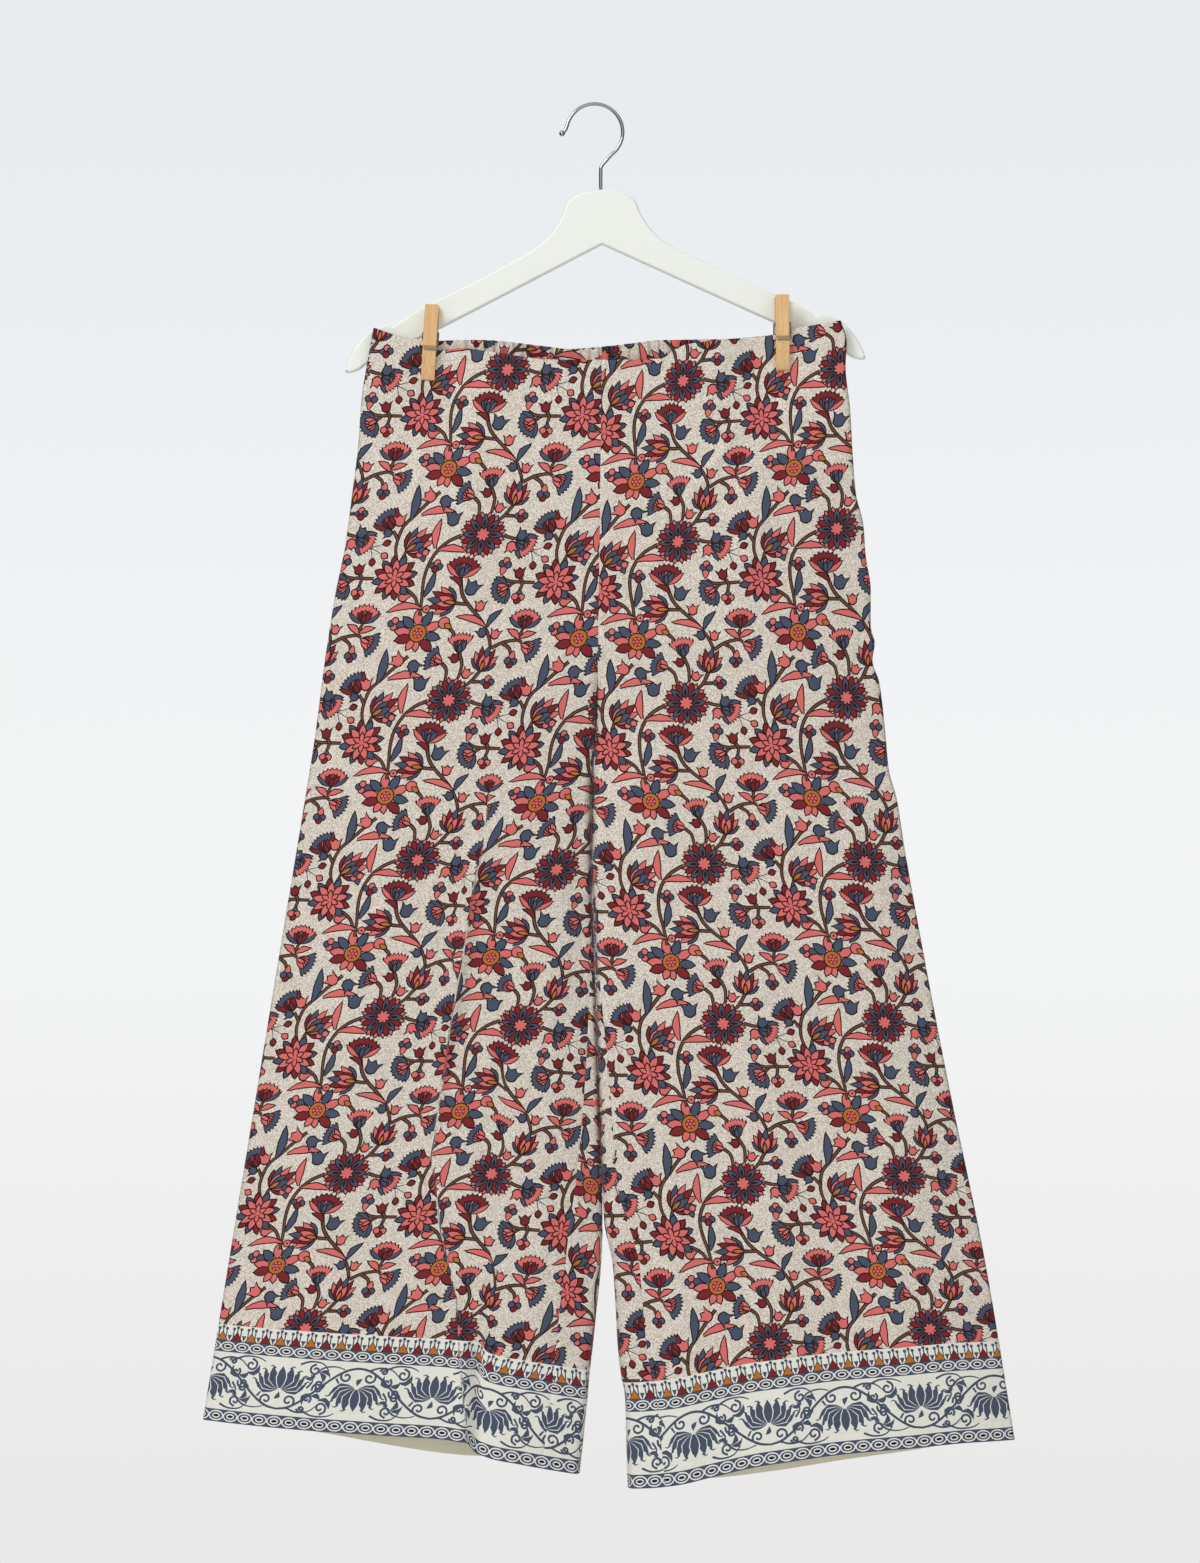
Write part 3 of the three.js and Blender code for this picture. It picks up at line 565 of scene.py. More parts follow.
def turned(points, x, y, degrees):
    angle = math.radians(degrees)
    c, s = math.cos(angle), math.sin(angle)
    return [(x + a * c - b * s, y + a * s + b * c) for a, b in points]


def almond(x, y, degrees, length, width):
    """A petal's ring, with its foot at (x, y)."""
    upper = [(along * length, out * width / 2) for along, out in PETAL]
    lower = [(a, -b) for a, b in reversed(upper)]
    return turned(upper + [(length, 0.0)] + lower, x, y, degrees)


def petal(x, y, degrees, length, width, colour):
    foot = turned([(-OUTLINE, 0)], x, y, degrees)[0]
    return [
        (INK, almond(*foot, degrees, length + 2.4 * OUTLINE, width + 2 * OUTLINE)),
        (colour, almond(x, y, degrees, length, width)),
    ]


def disc(x, y, radius, colour, sides=10, line=OUTLINE):
    def ring(r):
        return [(x + r * math.cos(2 * math.pi * k / sides), y + r * math.sin(2 * math.pi * k / sides))
                for k in range(sides)]
    return [(INK, ring(radius + line)), (colour, ring(radius))] if line else [(colour, ring(radius))]


def crown(x, y, count, foot, length, width, colours, first=0.0, spread=360.0):
    """Petals round a centre; a spread under 360 fans them about the first one."""
    shapes = []
    whole = spread >= 360
    for k in range(count):
        degrees = first + (360 * k / count if whole else spread * (k / (count - 1) - 0.5))
        at = turned([(foot, 0)], x, y, degrees)[0]
        shapes += petal(*at, degrees, length, width, colours[k % len(colours)])
    return shapes


def stroke(points, width, colour, taper=0.55):
    """A ribbon along a smooth curve through the points."""
    line = smooth_line(points, (0.0, 0.34, 0.67))
    way = np.gradient(line, axis=0)
    way /= np.maximum(np.linalg.norm(way, axis=1, keepdims=True), 1e-9)
    half = width / 2 * np.linspace(1, taper, len(line))[:, None]
    side = np.stack([-way[:, 1], way[:, 0]], axis=1) * half
    return [(colour, [tuple(p) for p in np.concatenate([line + side, (line - side)[::-1]])])]


def leaf(x0, y0, x1, y1, width, colour, bend=0.12):
    """A long leaf with a curved middle."""
    way = np.array([x1 - x0, y1 - y0], float)
    side = np.array([-way[1], way[0]])

    def ring(grow):
        upper, lower = [], []
        for along, out in ((0.0, 0.1), (0.22, 0.6), (0.5, 1.0), (0.78, 0.62), (0.93, 0.25)):
            middle = way * along + side * bend * 4 * along * (1 - along)
            edge = side / np.linalg.norm(side) * (out * width / 2 + grow)
            upper.append(tuple(middle + edge + (x0, y0)))
            lower.append(tuple(middle - edge + (x0, y0)))
        tip = way * (1 + grow / np.linalg.norm(way) * 2) + (x0, y0)
        return upper + [tuple(tip)] + lower[::-1]

    return [(INK, ring(OUTLINE)), (colour, ring(0.0))]


def star(x, y):
    shapes = crown(x, y, 16, 9.0, 8.8, 3.8, (CORAL,), 11.25)
    shapes += crown(x, y, 8, 6.0, 11.2, 4.6, (MAROON,), 22.5)
    shapes += crown(x, y, 8, 4.4, 11.6, 4.4, (BLUE,), 0)
    shapes += crown(x, y, 8, 6.6, 4.2, 0.4, (INK,), 0)
    shapes += crown(x, y, 8, 1.2, 4.2, 2.8, (CORAL,), 22.5)
    return shapes + disc(x, y, 3.6, CORAL, 12, 0)


def pinwheel(x, y, degrees=-55):
    shapes = crown(x, y, 12, 8.0, 9.8, 5.2, (MAROON, BLUE), degrees + 12)
    shapes += crown(x, y, 9, 3.0, 11.4, 5.0, (CORAL,), degrees)
    shapes += crown(x, y, 6, 0.5, 7.0, 3.2, (CORAL,), degrees + 20)
    return shapes + disc(x, y, 1.6, CORAL, 7, 0)


POD_LEAVES = [
    (-4.5, 3.5, 168, 13.5, 7.0, MAROON), (3.5, 5.0, 40, 13.0, 7.0, MAROON),
    (-1.0, 5.0, 78, 9.5, 5.4, CORAL), (-2.5, 5.0, 118, 9.5, 5.4, CORAL),
]


def pod_lotus(x, y):
    shapes = crown(x, y, 7, 6.2, 13.0, 6.4, (CORAL, BLUE), -64, 224)
    for dx, dy, degrees, length, width, colour in POD_LEAVES:
        shapes += petal(x + dx, y + dy, degrees, length, width, colour)
    shapes += disc(x, y, 6.6, OCHRE, 14) + disc(x, y, 4.4, MAROON, 10, 0)
    for k in range(6):
        shapes += disc(*turned([(2.8, 0)], x, y, 60 * k)[0], 1.1, CORAL, 6, 0)
    return shapes + disc(x, y, 1.2, CORAL, 6, 0)


# Turn, share of the size, which of the colours.
LOTUS_PETALS = [
    (-54, 0.62, 0), (54, 0.62, 0), (-36, 0.80, 1), (36, 0.80, 1), (-17, 0.94, 2), (17, 0.94, 2),
    (0, 1.00, 0), (-28, 0.54, 2), (28, 0.54, 2), (-10, 0.64, 1), (12, 0.64, 1),
]


def half_lotus(x, y, degrees, size, colours):
    """A lotus seen from the side, from its foot."""
    shapes = []
    for turn, reach, k in LOTUS_PETALS:
        shapes += petal(x, y, degrees + turn, size * reach, size * 0.23, colours[k])
    return shapes + petal(x, y, degrees, size * 0.36, size * 0.12, OCHRE)


def scalloped(x, y, degrees, radius, spread, scallops, notch=0.88):
    """A wedge from (x, y) with a scalloped rim."""
    points = [(0.0, 0.0)]
    for k in range(2 * scallops + 1):
        angle = math.radians(spread * (k / (2 * scallops) - 0.5))
        r = radius * (1.0 if k % 2 else notch)
        points.append((r * math.cos(angle), r * math.sin(angle)))
    return turned(points, x, y, degrees)


def fan(x, y, degrees, size, rim, base, wings, spread):
    """An open flower from its foot, with a scalloped rim."""
    shapes = []
    for side in (-1, 1) if wings is not None else ():
        shapes += petal(x, y, degrees + side * (spread / 2 + 6), size * 0.98, size * 0.34, wings)
    shapes.append((INK, scalloped(x, y, degrees, size + OUTLINE, spread + 7, 8)))
    shapes.append((rim, scalloped(x, y, degrees, size - 0.2, spread, 8)))
    shapes.append((INK, scalloped(x, y, degrees, size * 0.68, spread * 0.86, 6)))
    shapes += crown(x, y, 5, 0.4, size * 0.62, size * 0.21, (base, base, CORAL), degrees, spread * 0.66)
    return shapes + petal(x, y, degrees, size * 0.46, size * 0.16, base)


def tulip(x, y, degrees, size, colour):
    """A bud with three points, centred on (x, y)."""
    points = [(0, 0.12), (0.18, 0.4), (0.62, 0.46), (1.05, 0.66), (0.84, 0.26), (1.1, 0.0)]
    points += [(a, -b) for a, b in points[-2::-1]]

    def ring(scale):
        return turned([(size * (a - 0.5) * scale, size * b * scale) for a, b in points], x, y, degrees)
    return [(INK, ring(1 + 2.4 * OUTLINE / size)), (colour, ring(1.0))]


def cluster(x, y, degrees, colours, cup, length):
    """Three little balls on a cup."""
    shapes = petal(*turned([(-length, 0)], x, y, degrees)[0], degrees, length + 1.4, 4.6, cup)
    for k, turn in enumerate((-95, 0, 95)):
        at = turned([(2.6, 0)], x, y, degrees + turn)[0]
        shapes += disc(*at, 2.3, colours[k], 8)
    return shapes


def stem(*points):
    return stroke(points, 3.4, INK, 0.8) + stroke(points, 1.5, STEM, 0.8)


# The print's chart, as drawn: mm from the star, x right and y down.
STEMS = [
    [(-17, 1), (-27, 6), (-35, 14), (-40, 25), (-41, 38), (-39, 53), (-38, 66)],
    [(72, 43), (80, 46), (88, 52), (93, 62)],
    [(-11, 34), (-7, 47), (0, 56), (11, 66), (20, 77), (25, 89), (23, 96)],
    [(-11, 55), (0, 56)],
    [(26, 90), (35, 85), (46, 83), (50, 85)],
    [(46, 83), (49, 73)],
    [(21, 108), (15, 117), (10, 121)],
    [(29, 41), (34, 37), (42, 37), (50, 37)],
    [(22, 33), (27, 36), (34, 37)],
    [(36, 32), (40, 37), (39, 44)],
    [(92, -34), (82, -24), (74, -15), (66, -6), (63, 5), (63, 14), (66, 23)],
    [(63, 5), (58, -2)],
    [(69, 23), (72, 14)],
    [(-12, 103), (-7, 108), (-6, 116)],
    [(1, 95), (5, 104), (4, 115)],
    [(17, 0), (23, 2), (29, 3)],
    [(16, 117), (24, 117)],
    [(35, 86), (41, 90), (43, 95)],
    [(-15, 72), (-8, 78), (-5, 82)],
    [(85, 72), (92, 76)],
]
LEAVES = [
    (-37, 12, -36, -11, 5.5, CORAL, -0.1), (-34, 13, -11, 14, 5.0, CORAL, -0.1),
    (-38, 51, -33, 31, 5.0, BLUE, 0.06), (-38, 60, -65, 64, 5.0, CORAL, 0.14),
    (71, -11, 73, -38, 6.5, BLUE, 0.05), (79, -15, 106, -18, 5.5, CORAL, -0.1),
    (19, 73, 28, 60, 4.5, BLUE, -0.12), (18, 73, -7, 66, 4.5, CORAL, 0.1),
    (47, 82, 37, 75, 4.5, CORAL, 0.1), (48, 81, 59, 77, 4.0, CORAL, -0.1),
    (-9, 42, -19, 35, 3.5, MAROON, 0.2),
]
LOTUSES = [
    (-11, 55, 186, 23, (BLUE, CORAL, MAROON)), (72, 14, -37, 24, (MAROON, BLUE, CORAL)),
    (21, 108, -80, 20, (BLUE, CORAL, MAROON)),
]
# Foot, way it opens, size, colours of the rim, the base and the wings, spread.
FANS = [
    (-11, 34, -86, 16.5, MAROON, BLUE, CORAL, 104), (29, 41, 150, 13.5, BLUE, CORAL, BLUE, 116),
    (29, 3, 33, 16.0, CORAL, BLUE, BLUE, 72), (49, 73, -90, 15.0, CORAL, MAROON, BLUE, 108),
    (50, 86, 22, 16.0, BLUE, CORAL, None, 82), (-12, 103, -159, 14.5, BLUE, CORAL, None, 90),
    (1, 95, -97, 16.5, CORAL, BLUE, None, 78), (57, -4, -130, 16.5, BLUE, MAROON, MAROON, 76),
]
TULIPS = [
    (-26, -12, -90, 9.5, BLUE), (0, 43, -70, 9.5, BLUE), (32, 0, -60, 7.0, BLUE), (98, -26, 45, 8.5, BLUE),
    (16, 78, -120, 6.0, BLUE), (54, 0, 180, 5.5, BLUE), (25, 9, 80, 7.0, CORAL), (62, -10, -100, 7.5, CORAL),
    (84, -30, -150, 8.5, CORAL), (10, 57, -90, 6.5, CORAL), (27, 79, -80, 6.0, CORAL),
    (78, 51, -60, 7.0, CORAL), (36, 30, -100, 6.5, MAROON), (-2, 99, -120, 6.0, MAROON),
    (10, 111, -60, 6.0, CORAL),
]
# Place, way they point, colours, colour and length of the cup.
CLUSTERS = [
    (23, 23, -80, (BLUE, CORAL, BLUE), CORAL, 8.5), (-47, 16, -110, (CORAL, BLUE, CORAL), BLUE, 6.5),
    (-33, 26, 10, (CORAL, BLUE, MAROON), BLUE, 6.5), (29, 117, 0, (CORAL, BLUE, MAROON), BLUE, 6.0),
    (75, 73, 186, (CORAL, BLUE, CORAL), BLUE, 11.0), (44, 100, 95, (BLUE, MAROON, BLUE), CORAL, 8.0),
    (39, 49, 95, (CORAL, MAROON, CORAL), BLUE, 5.5),
]
DROPS = [(52, 9, -20, MAROON), (52, 17, 30, CORAL), (45, 21, 80, MAROON)]


def trail():
    """One repeat of the print, about its star."""
    shapes = []
    for points in STEMS:
        shapes += stem(*points)
    for x, y, degrees, colour in DROPS:
        shapes += stroke([(42, 12), (x, y)], 0.8, INK) + petal(x, y, degrees, 5.4, 4.4, colour)
    for row in LEAVES:
        shapes += leaf(*row)
    for row in LOTUSES:
        shapes += half_lotus(*row)
    for row in FANS:
        shapes += fan(*row)
    for row in TULIPS:
        shapes += tulip(*row)
    for row in CLUSTERS:
        shapes += cluster(*row)
    shapes += disc(-33.5, 60.5, 2.6, CORAL, 9) + disc(-33.5, 60.5, 0.9, INK, 6, 0)
    shapes += disc(-16.5, 71.0, 4.2, CORAL, 9) + petal(-15.5, 72.0, 30, 6.0, 3.6, OCHRE)
    return shapes + star(0, 0) + pinwheel(67, 36) + pod_lotus(96, 80)


# ---------- the border along the hems ----------
def rectangle(x0, x1, y0, y1):
    return [(x0, y0), (x1, y0), (x1, y1), (x0, y1)]


def oval(x, y, wide, tall, sides=12):
    angles = [2 * math.pi * (k + 0.5) / sides for k in range(sides)]
    return [(x + wide * math.cos(a), y + tall * math.sin(a)) for a in angles]


# Half width, share of the band's half height, colour.
BEAD_OVALS = [(6.5, 0.84, WHITE), (5.5, 0.64, BLUE), (3.5, 0.42, WHITE), (2.5, 0.22, INK)]


def bead_band(low, high, x0, x1):
    """A blue band with a chain of pale-ringed ovals."""
    shapes = [(BLUE, rectangle(x0, x1, low, high))]
    middle = (low + high) / 2
    half = (high - low) / 2
    for k in range(math.ceil(x0 / BEAD_PITCH), math.floor(x1 / BEAD_PITCH) + 1):
        x = k * BEAD_PITCH
        for wide, tall, colour in BEAD_OVALS:
            shapes.append((colour, oval(x, middle, wide, tall * half)))
    return shapes


def curl(x, y, radius, turn, start, width=1.9):
    """A spiral line; turn is 1 or -1."""
    points = []
    for k in range(9):
        angle = math.radians(start + turn * k * 55)
        r = radius * (1 - k / 10)
        points.append((x + r * math.cos(angle), y + r * math.sin(angle)))
    return stroke(points, width, BLUE, 0.9)


def blade(x0, y0, x1, y1, width, bend):
    """A blue leaf without an outline."""
    return leaf(x0, y0, x1, y1, width, BLUE, bend)[1:]


# Reach, height of the tip, width, bend.
BORDER_PETALS = [
    (22.0, 6.5, 6.2, 0.22), (19.5, 11.5, 7.4, 0.18), (14.5, 15.5, 8.2, 0.14), (8.0, 18.5, 8.4, 0.1),
]


def border_lotus(x, base, up):
    """A lotus of blue petals with pale gaps; up is 1 or -1."""
    shapes = []
    for reach, tip, width, bend in BORDER_PETALS:
        for side in (-1, 1):
            ends = (x + side * 0.6, base, x + side * reach, base + up * tip)
            shapes.append((PALE, leaf(*ends, width + 1.6, BLUE, -bend * side * up)[1][1]))
            shapes += blade(*ends, width, -bend * side * up)
            tip_x, tip_h = x + side * reach, base + up * tip
            shapes += stroke([(tip_x - side * 2, tip_h - up * 1.2), (tip_x + side * 0.6, tip_h + up * 0.8),
                              (tip_x + side * 2.6, tip_h)], 1.5, BLUE, 0.4)
    shapes.append((PALE, almond(x, base - up, 90 * up, 21.5, 9.4)))
    shapes.append((BLUE, almond(x, base - up * 0.5, 90 * up, 20.0, 7.6)))
    shapes.append((PALE, oval(x, base - up * 0.8, 1.9, 1.3, 8)))
    return shapes + blade(x, base - up * 2.6, x - 3.5 * up, base - up * 9.0, 4.0, 0.22)


# What fills the vine's bends about each lotus, from the vine's trough: curls, leaves and tendrils.
CURLS = [
    (9, 10, 5.8, 1, -90), (-10, 10, 5.4, -1, -90), (-27, 38, 5.6, -1, 90), (27, 38, 5.0, 1, 90),
    (31, 22, 4.8, -1, 200), (-31, 18, 4.6, 1, 0), (-39, 31, 3.8, -1, 60), (20, 4, 3.4, 1, 180),
]
SPRIGS = [
    (26, 15, 35, 12, 4.4, 0.3), (-23, 12, -33, 8, 4.0, 0.3), (34, 27, 30, 36, 4.4, -0.3),
    (-36, 26, -42, 37, 4.4, 0.3), (-19, 34, -30, 32, 3.8, 0.2), (37, 12, 43, 5, 3.8, 0.3),
    (19, 31, 28, 33, 3.6, -0.2),
]
TENDRILS = [
    [(-38, 12), (-30, 4), (-20, 2), (-12, 4)], [(8, 4), (16, 1), (26, 2), (33, 8)],
    [(-44, 40), (-34, 45), (-22, 45), (-15, 42)], [(14, 42), (22, 45), (32, 44), (38, 38)],
    [(-18, 12), (-14, 17), (-8, 16)], [(22, 22), (26, 28), (24, 34)],
]


def hem_border(x0, x1):
    """The border along a hem, in (across, height above the hem)."""
    shapes = [(PALE, rectangle(x0, x1, -1.0, BORDER_TOP))]
    for k in range(math.ceil(x0 / LOTUS_PITCH) - 1, math.floor(x1 / LOTUS_PITCH) + 2):
        start = k * LOTUS_PITCH
        bends = np.linspace(0, LOTUS_PITCH, 17)
        vine = [(start + s, 36 - 19.5 * math.cos(2 * math.pi * s / LOTUS_PITCH)) for s in bends]
        shapes += stroke(vine, 2.0, BLUE, 1.0)
        for x, low, base, up in ((start, 14.0, 34.0, 1), (start + LOTUS_PITCH / 2, 58.0, 38.0, -1)):
            for dx, dh, radius, turn, angle in CURLS:
                shapes += curl(x + dx, low + up * dh, radius, turn * up, angle * up)
            for dx0, h0, dx1, h1, width, bend in SPRIGS:
                shapes += blade(x + dx0, low + up * h0, x + dx1, low + up * h1, width, bend * up)
            for points in TENDRILS:
                shapes += stroke([(x + dx, low + up * dh) for dx, dh in points], 1.9, BLUE, 0.45)
            shapes += border_lotus(x, base, up)
    shapes += bead_band(0.0, 11.0, x0, x1) + bead_band(61.0, 71.0, x0, x1)
    for k in range(math.ceil(x0 / BEAD_PITCH) - 1, math.floor(x1 / BEAD_PITCH) + 2):
        x = k * BEAD_PITCH
        shapes.append((BLUE, [(x - 2.0, 76.0), (x, 70.8), (x + 2.0, 76.0)]))
        apex = x + BEAD_PITCH / 2
        for side in (-1, 0, 1):
            tip, top = apex + side * 3.2, 82.2 - 1.4 * abs(side)
            shapes.append((BLUE, rectangle(tip - 0.55, tip + 0.55, 74.0, top)))
            shapes.append((BLUE, oval(tip, top + 0.6, 1.45, 1.45, 7)))
        shapes.append((INK, [(apex - 5.2, 71.0), (apex + 5.2, 71.0), (apex, 79.4)]))
        shapes.append(((MAROON, OCHRE)[k % 2], [(apex - 4.3, 71.4), (apex + 4.3, 71.4), (apex, 78.2)]))
    return shapes


# ---------- the print, laid on a piece ----------
def twice_area(ring):
    """Above zero for a ring that runs anticlockwise, with y up."""
    return sum(a[0] * b[1] - b[0] * a[1] for a, b in zip(ring, [*ring[1:], ring[0]]))


def anticlockwise(ring):
    return ring if twice_area(ring) > 0 else ring[::-1]


def densify(ring, step):
    """The ring with points put in, so that none are more than a step apart."""
    out = []
    for (x0, y0), (x1, y1) in zip(ring, ring[1:] + ring[:1]):
        count = max(1, math.ceil(math.hypot(x1 - x0, y1 - y0) / step))
        out += [(x0 + (x1 - x0) * k / count, y0 + (y1 - y0) * k / count) for k in range(count)]
    return out


def tucked(x, y):
    """Where a place across the print lands beside the fold."""
    line, hidden = (np.interp(y, [row[0] for row in TUCK], [row[k] for row in TUCK]) for k in (1, 2))
    past = np.clip((x - line) / (hidden + TUCK_SHOWS), 0.0, 1.0)
    return x - hidden * past


def tuck_ring(ring):
    """A ring of the print as it shows beside the fold, with points enough to follow it."""
    across, down = np.array(ring).T
    if across.max() > np.interp(down.mean(), [row[0] for row in TUCK], [row[1] for row in TUCK]) - 25:
        across, down = np.array(densify(ring, 2.5)).T
    return list(zip(tucked(across, down).tolist(), down.tolist()))


def panel_print(panel, box, q0, hem_q, phase):
    """All shapes of the print on a panel, in its flat coordinates.

    q0 is how far down the first star is, hem_q how far down the hem is (None for no border), and phase how
    far across a lotus of the border is.
    """
    x0, x1, y0, y1 = box
    shapes = []
    side = (panel.leg, panel.face)
    tilt = smooth_curve(TILT[side])
    one = trail()
    colours = [colour for colour, _ in one]
    ends = np.cumsum([len(ring) for _, ring in one])
    corners = np.concatenate([np.array(ring, float) for _, ring in one])
    last_y = hem_q - BORDER_TOP if hem_q else y1 + 1
    for i in range(math.floor(x0 / REPEAT) - 1, math.ceil(x1 / REPEAT) + 2):
        for k in range(math.floor((y0 - q0) / REPEAT) - 1, math.ceil((y1 - q0) / REPEAT) + 2):
            moved = corners + (i * REPEAT, q0 + k * REPEAT)
            moved[:, 1] = q0 + (moved[:, 1] - q0) * STRETCH.get(side, 1.0)
            moved[:, 1] -= tilt(moved[:, 1]) * panel.sign * moved[:, 0]
            for colour, ring in zip(colours, np.split(moved, ends[:-1])):
                low, high = ring.min(axis=0), ring.max(axis=0)
                if high[0] > x0 - 1 and low[0] < x1 + 20 and high[1] > y0 - 1 and low[1] < last_y:
                    shapes.append((colour, [tuple(corner) for corner in ring.tolist()]))
    if hem_q:
        for colour, ring in hem_border(x0 - phase - 4, x1 - phase + 20):
            moved = [(x + phase, hem_q - h) for x, h in ring]
            shapes.append((colour, densify(moved, 4.0)))
    if side == ("left", "front"):
        shapes = [(colour, tuck_ring(ring)) for colour, ring in shapes]
    return shapes


# ---------- meshes ----------
PRINT_STEP = 5.0
LINING_STEP = 4.5
CASING_STEP = 3.0
SLACK = 0.05  # how far a point of the print may stray from a straight line and be left out
LONGEST = 5.0  # the longest edge that leaving points out may make


def triangulate(outline, shapes, points, lines=()):
    """Flat vertices, triangles inside the outline, and the topmost shape of each (-1 for none).

    lines are edges that the triangles keep, as numbers of points counted on from the outline's.
    """
    flat = [tuple(p) for p in outline]
    faces = [list(range(len(flat)))]
    for _, ring in shapes:
        ring = anticlockwise(ring)
        faces.append(list(range(len(flat), len(flat) + len(ring))))
        flat += ring
    flat += [tuple(p) for p in points]
    flat = [Vector((float(x), float(y))) for x, y in flat]
    out, _, tris, origins, _, owners = delaunay_2d_cdt(flat, lines, faces, 0, 1e-4)
    kept = [(tri, max(own) - 1) for tri, own in zip(tris, owners) if 0 in own]
    on_outline = {i for i, found in enumerate(origins) if found and min(found) < len(outline)}
    used = sorted({i for tri, _ in kept for i in tri} | on_outline)
    renumber = {old: new for new, old in enumerate(used)}
    vertices = np.array([out[i] for i in used])
    triangles = np.array([[renumber[i] for i in tri] for tri, _ in kept])
    top = np.array([own for _, own in kept])
    return vertices, triangles, top, [origins[i] for i in used]


def colour_lines(flat, triangles, shades):
    """Edges where two colours meet, without the points that lie on a straight run."""
    sides = {}
    for corners, shade in zip(triangles.tolist(), shades.tolist()):
        for k in range(3):
            edge = (corners[k - 1], corners[k])
            sides.setdefault((min(edge), max(edge)), []).append(shade)
    beside = {}
    for (a, b), met in sides.items():
        if len(met) == 2 and met[0] != met[1]:
            beside.setdefault(a, set()).add(b)
            beside.setdefault(b, set()).add(a)
    for here in list(beside):
        if len(beside[here]) != 2:
            continue
        a, b = beside[here]
        (ax, ay), (bx, by), (x, y) = flat[a], flat[b], flat[here]
        off = abs((bx - ax) * (y - ay) - (by - ay) * (x - ax)) / math.hypot(bx - ax, by - ay)
        if off < SLACK and math.hypot(bx - ax, by - ay) < LONGEST and b not in beside[a]:
            del beside[here]
            beside[a] ^= {here, b}
            beside[b] ^= {here, a}
    return [(a, b) for a in beside for b in beside[a] if a < b]


def inked(outline, shapes, points):
    """Flat vertices and triangles of a printed piece, and the colour of each triangle."""
    flat, triangles, top, _ = triangulate(outline, shapes, [])
    shades = np.array([shapes[i][0] if i >= 0 else CREAM for i in top])
    lines = colour_lines(flat.tolist(), triangles, shades)
    used = sorted({i for line in lines for i in line})
    number = {old: new + len(outline) for new, old in enumerate(used)}
    lines = [(number[a], number[b]) for a, b in lines]
    tree = BVHTree.FromPolygons([(x, y, 0.0) for x, y in flat.tolist()], triangles.tolist())
    flat, triangles, _, _ = triangulate(outline, [], np.concatenate([flat[used], points]), lines)
    middles = flat[triangles].mean(axis=1).tolist()
    found = [tree.find_nearest((x, y, 0.0))[2] for x, y in middles]
    return flat, triangles, shades[found]


def rim_loops(triangles):
    """Boundary edges in order, as loops of vertex numbers."""
    after = {}
    edges = set()
    for a, b, c in triangles.tolist():
        edges.update(((a, b), (b, c), (c, a)))
    for a, b in edges:
        if (b, a) not in edges:
            after[a] = b
    loops = []
    while after:
        start, here = after.popitem()
        loop = [start]
        while here != start:
            loop.append(here)
            here = after.pop(here)
        loops.append(loop)
    return loops


def link_mesh(name, vertices, faces, smooth=True, normals=None):
    mesh = bpy.data.meshes.new(name)
    mesh.from_pydata((np.asarray(vertices) * MM).tolist(), [], faces)
    mesh.polygons.foreach_set("use_smooth", np.full(len(mesh.polygons), smooth))
    if normals is not None:
        mesh.normals_split_custom_set_from_vertices(normals.tolist())
    mesh.update()
    piece = bpy.data.objects.new(name, mesh)
    bpy.context.scene.collection.objects.link(piece)
    return piece


GRAIN = 0.01  # units of the weave's map to each mm of flat cloth


class Cloth:
    """Vertices and triangles of one piece, gathered from one or more panels."""

    def __init__(self):
        self.parts = []
        self.count = 0

    def add(self, vertices, triangles, normals, colours, flat, bake):
        self.parts.append((vertices, triangles + self.count, normals, colours, flat * GRAIN, bake))
        self.count += len(vertices)

    def build(self, name):
        """Links the piece, with its dyes and painted seam shadow, and its two maps: for the baked image, and
        for the weave.
        """
        vertices, triangles, normals, colours, grain, bake = (np.concatenate(c) for c in zip(*self.parts))
        piece = link_mesh(name, vertices, triangles.tolist(), True, normals)
        dye_and_shade = piece.data.attributes.new("DyeAndPaintedShade", "FLOAT_COLOR", "CORNER")
        dye_and_shade.data.foreach_set("color", np.repeat(colours, 3, axis=0).astype(np.float32).ravel())
        for layer_name, uv in (("OFBake", bake), ("Grain", grain)):
            layer = piece.data.uv_layers.new(name=layer_name)
            layer.data.foreach_set("uv", uv[triangles.ravel()].astype(np.float32).ravel())
        return piece


def bake_coordinates(flat, box, low, high):
    """The flat cloth laid into the strip of the image from low to high, 0 to 1."""
    x0, x1, y0, y1 = box
    u = low + (high - low) * (flat[:, 0] - x0) / (x1 - x0)
    return np.stack([u, 1 - (flat[:, 1] - y0) / (y1 - y0)], axis=1)


def grid_points(panel, box, step, fine=None):
    """Places for vertices all over the piece, and more of them over its gathers.

    fine is the columns, the rows and the last row of the finer grid, or None.
    """
    x0, x1, y0, y1 = box
    xs, ys = np.meshgrid(np.arange(x0, x1, step), np.arange(y0, y1, step))
    xs = xs + (np.arange(len(xs)) % 2)[:, None] * step / 2
    points = [np.stack([xs.ravel(), ys.ravel()], axis=1)]
    if fine is not None:
        columns, rows, last = fine
        across, down = np.linspace(0.001, 0.999, columns), np.linspace(panel.v[0] + 1, last, rows)
        fraction, v = np.meshgrid(across, down)
        points.append(panel.flat(fraction.ravel(), v.ravel()))
    return np.concatenate(points)


# How far from the inner seam, and from the leg's inner edge, vertices are placed along them.
BESIDE_SEAM = (0.7, 1.5, 2.4, 3.6)
BESIDE_EDGE = np.array([-3.0, -2.0, -1.2, -0.5, 0.0, 0.5, 1.2, 2.0, 3.0])


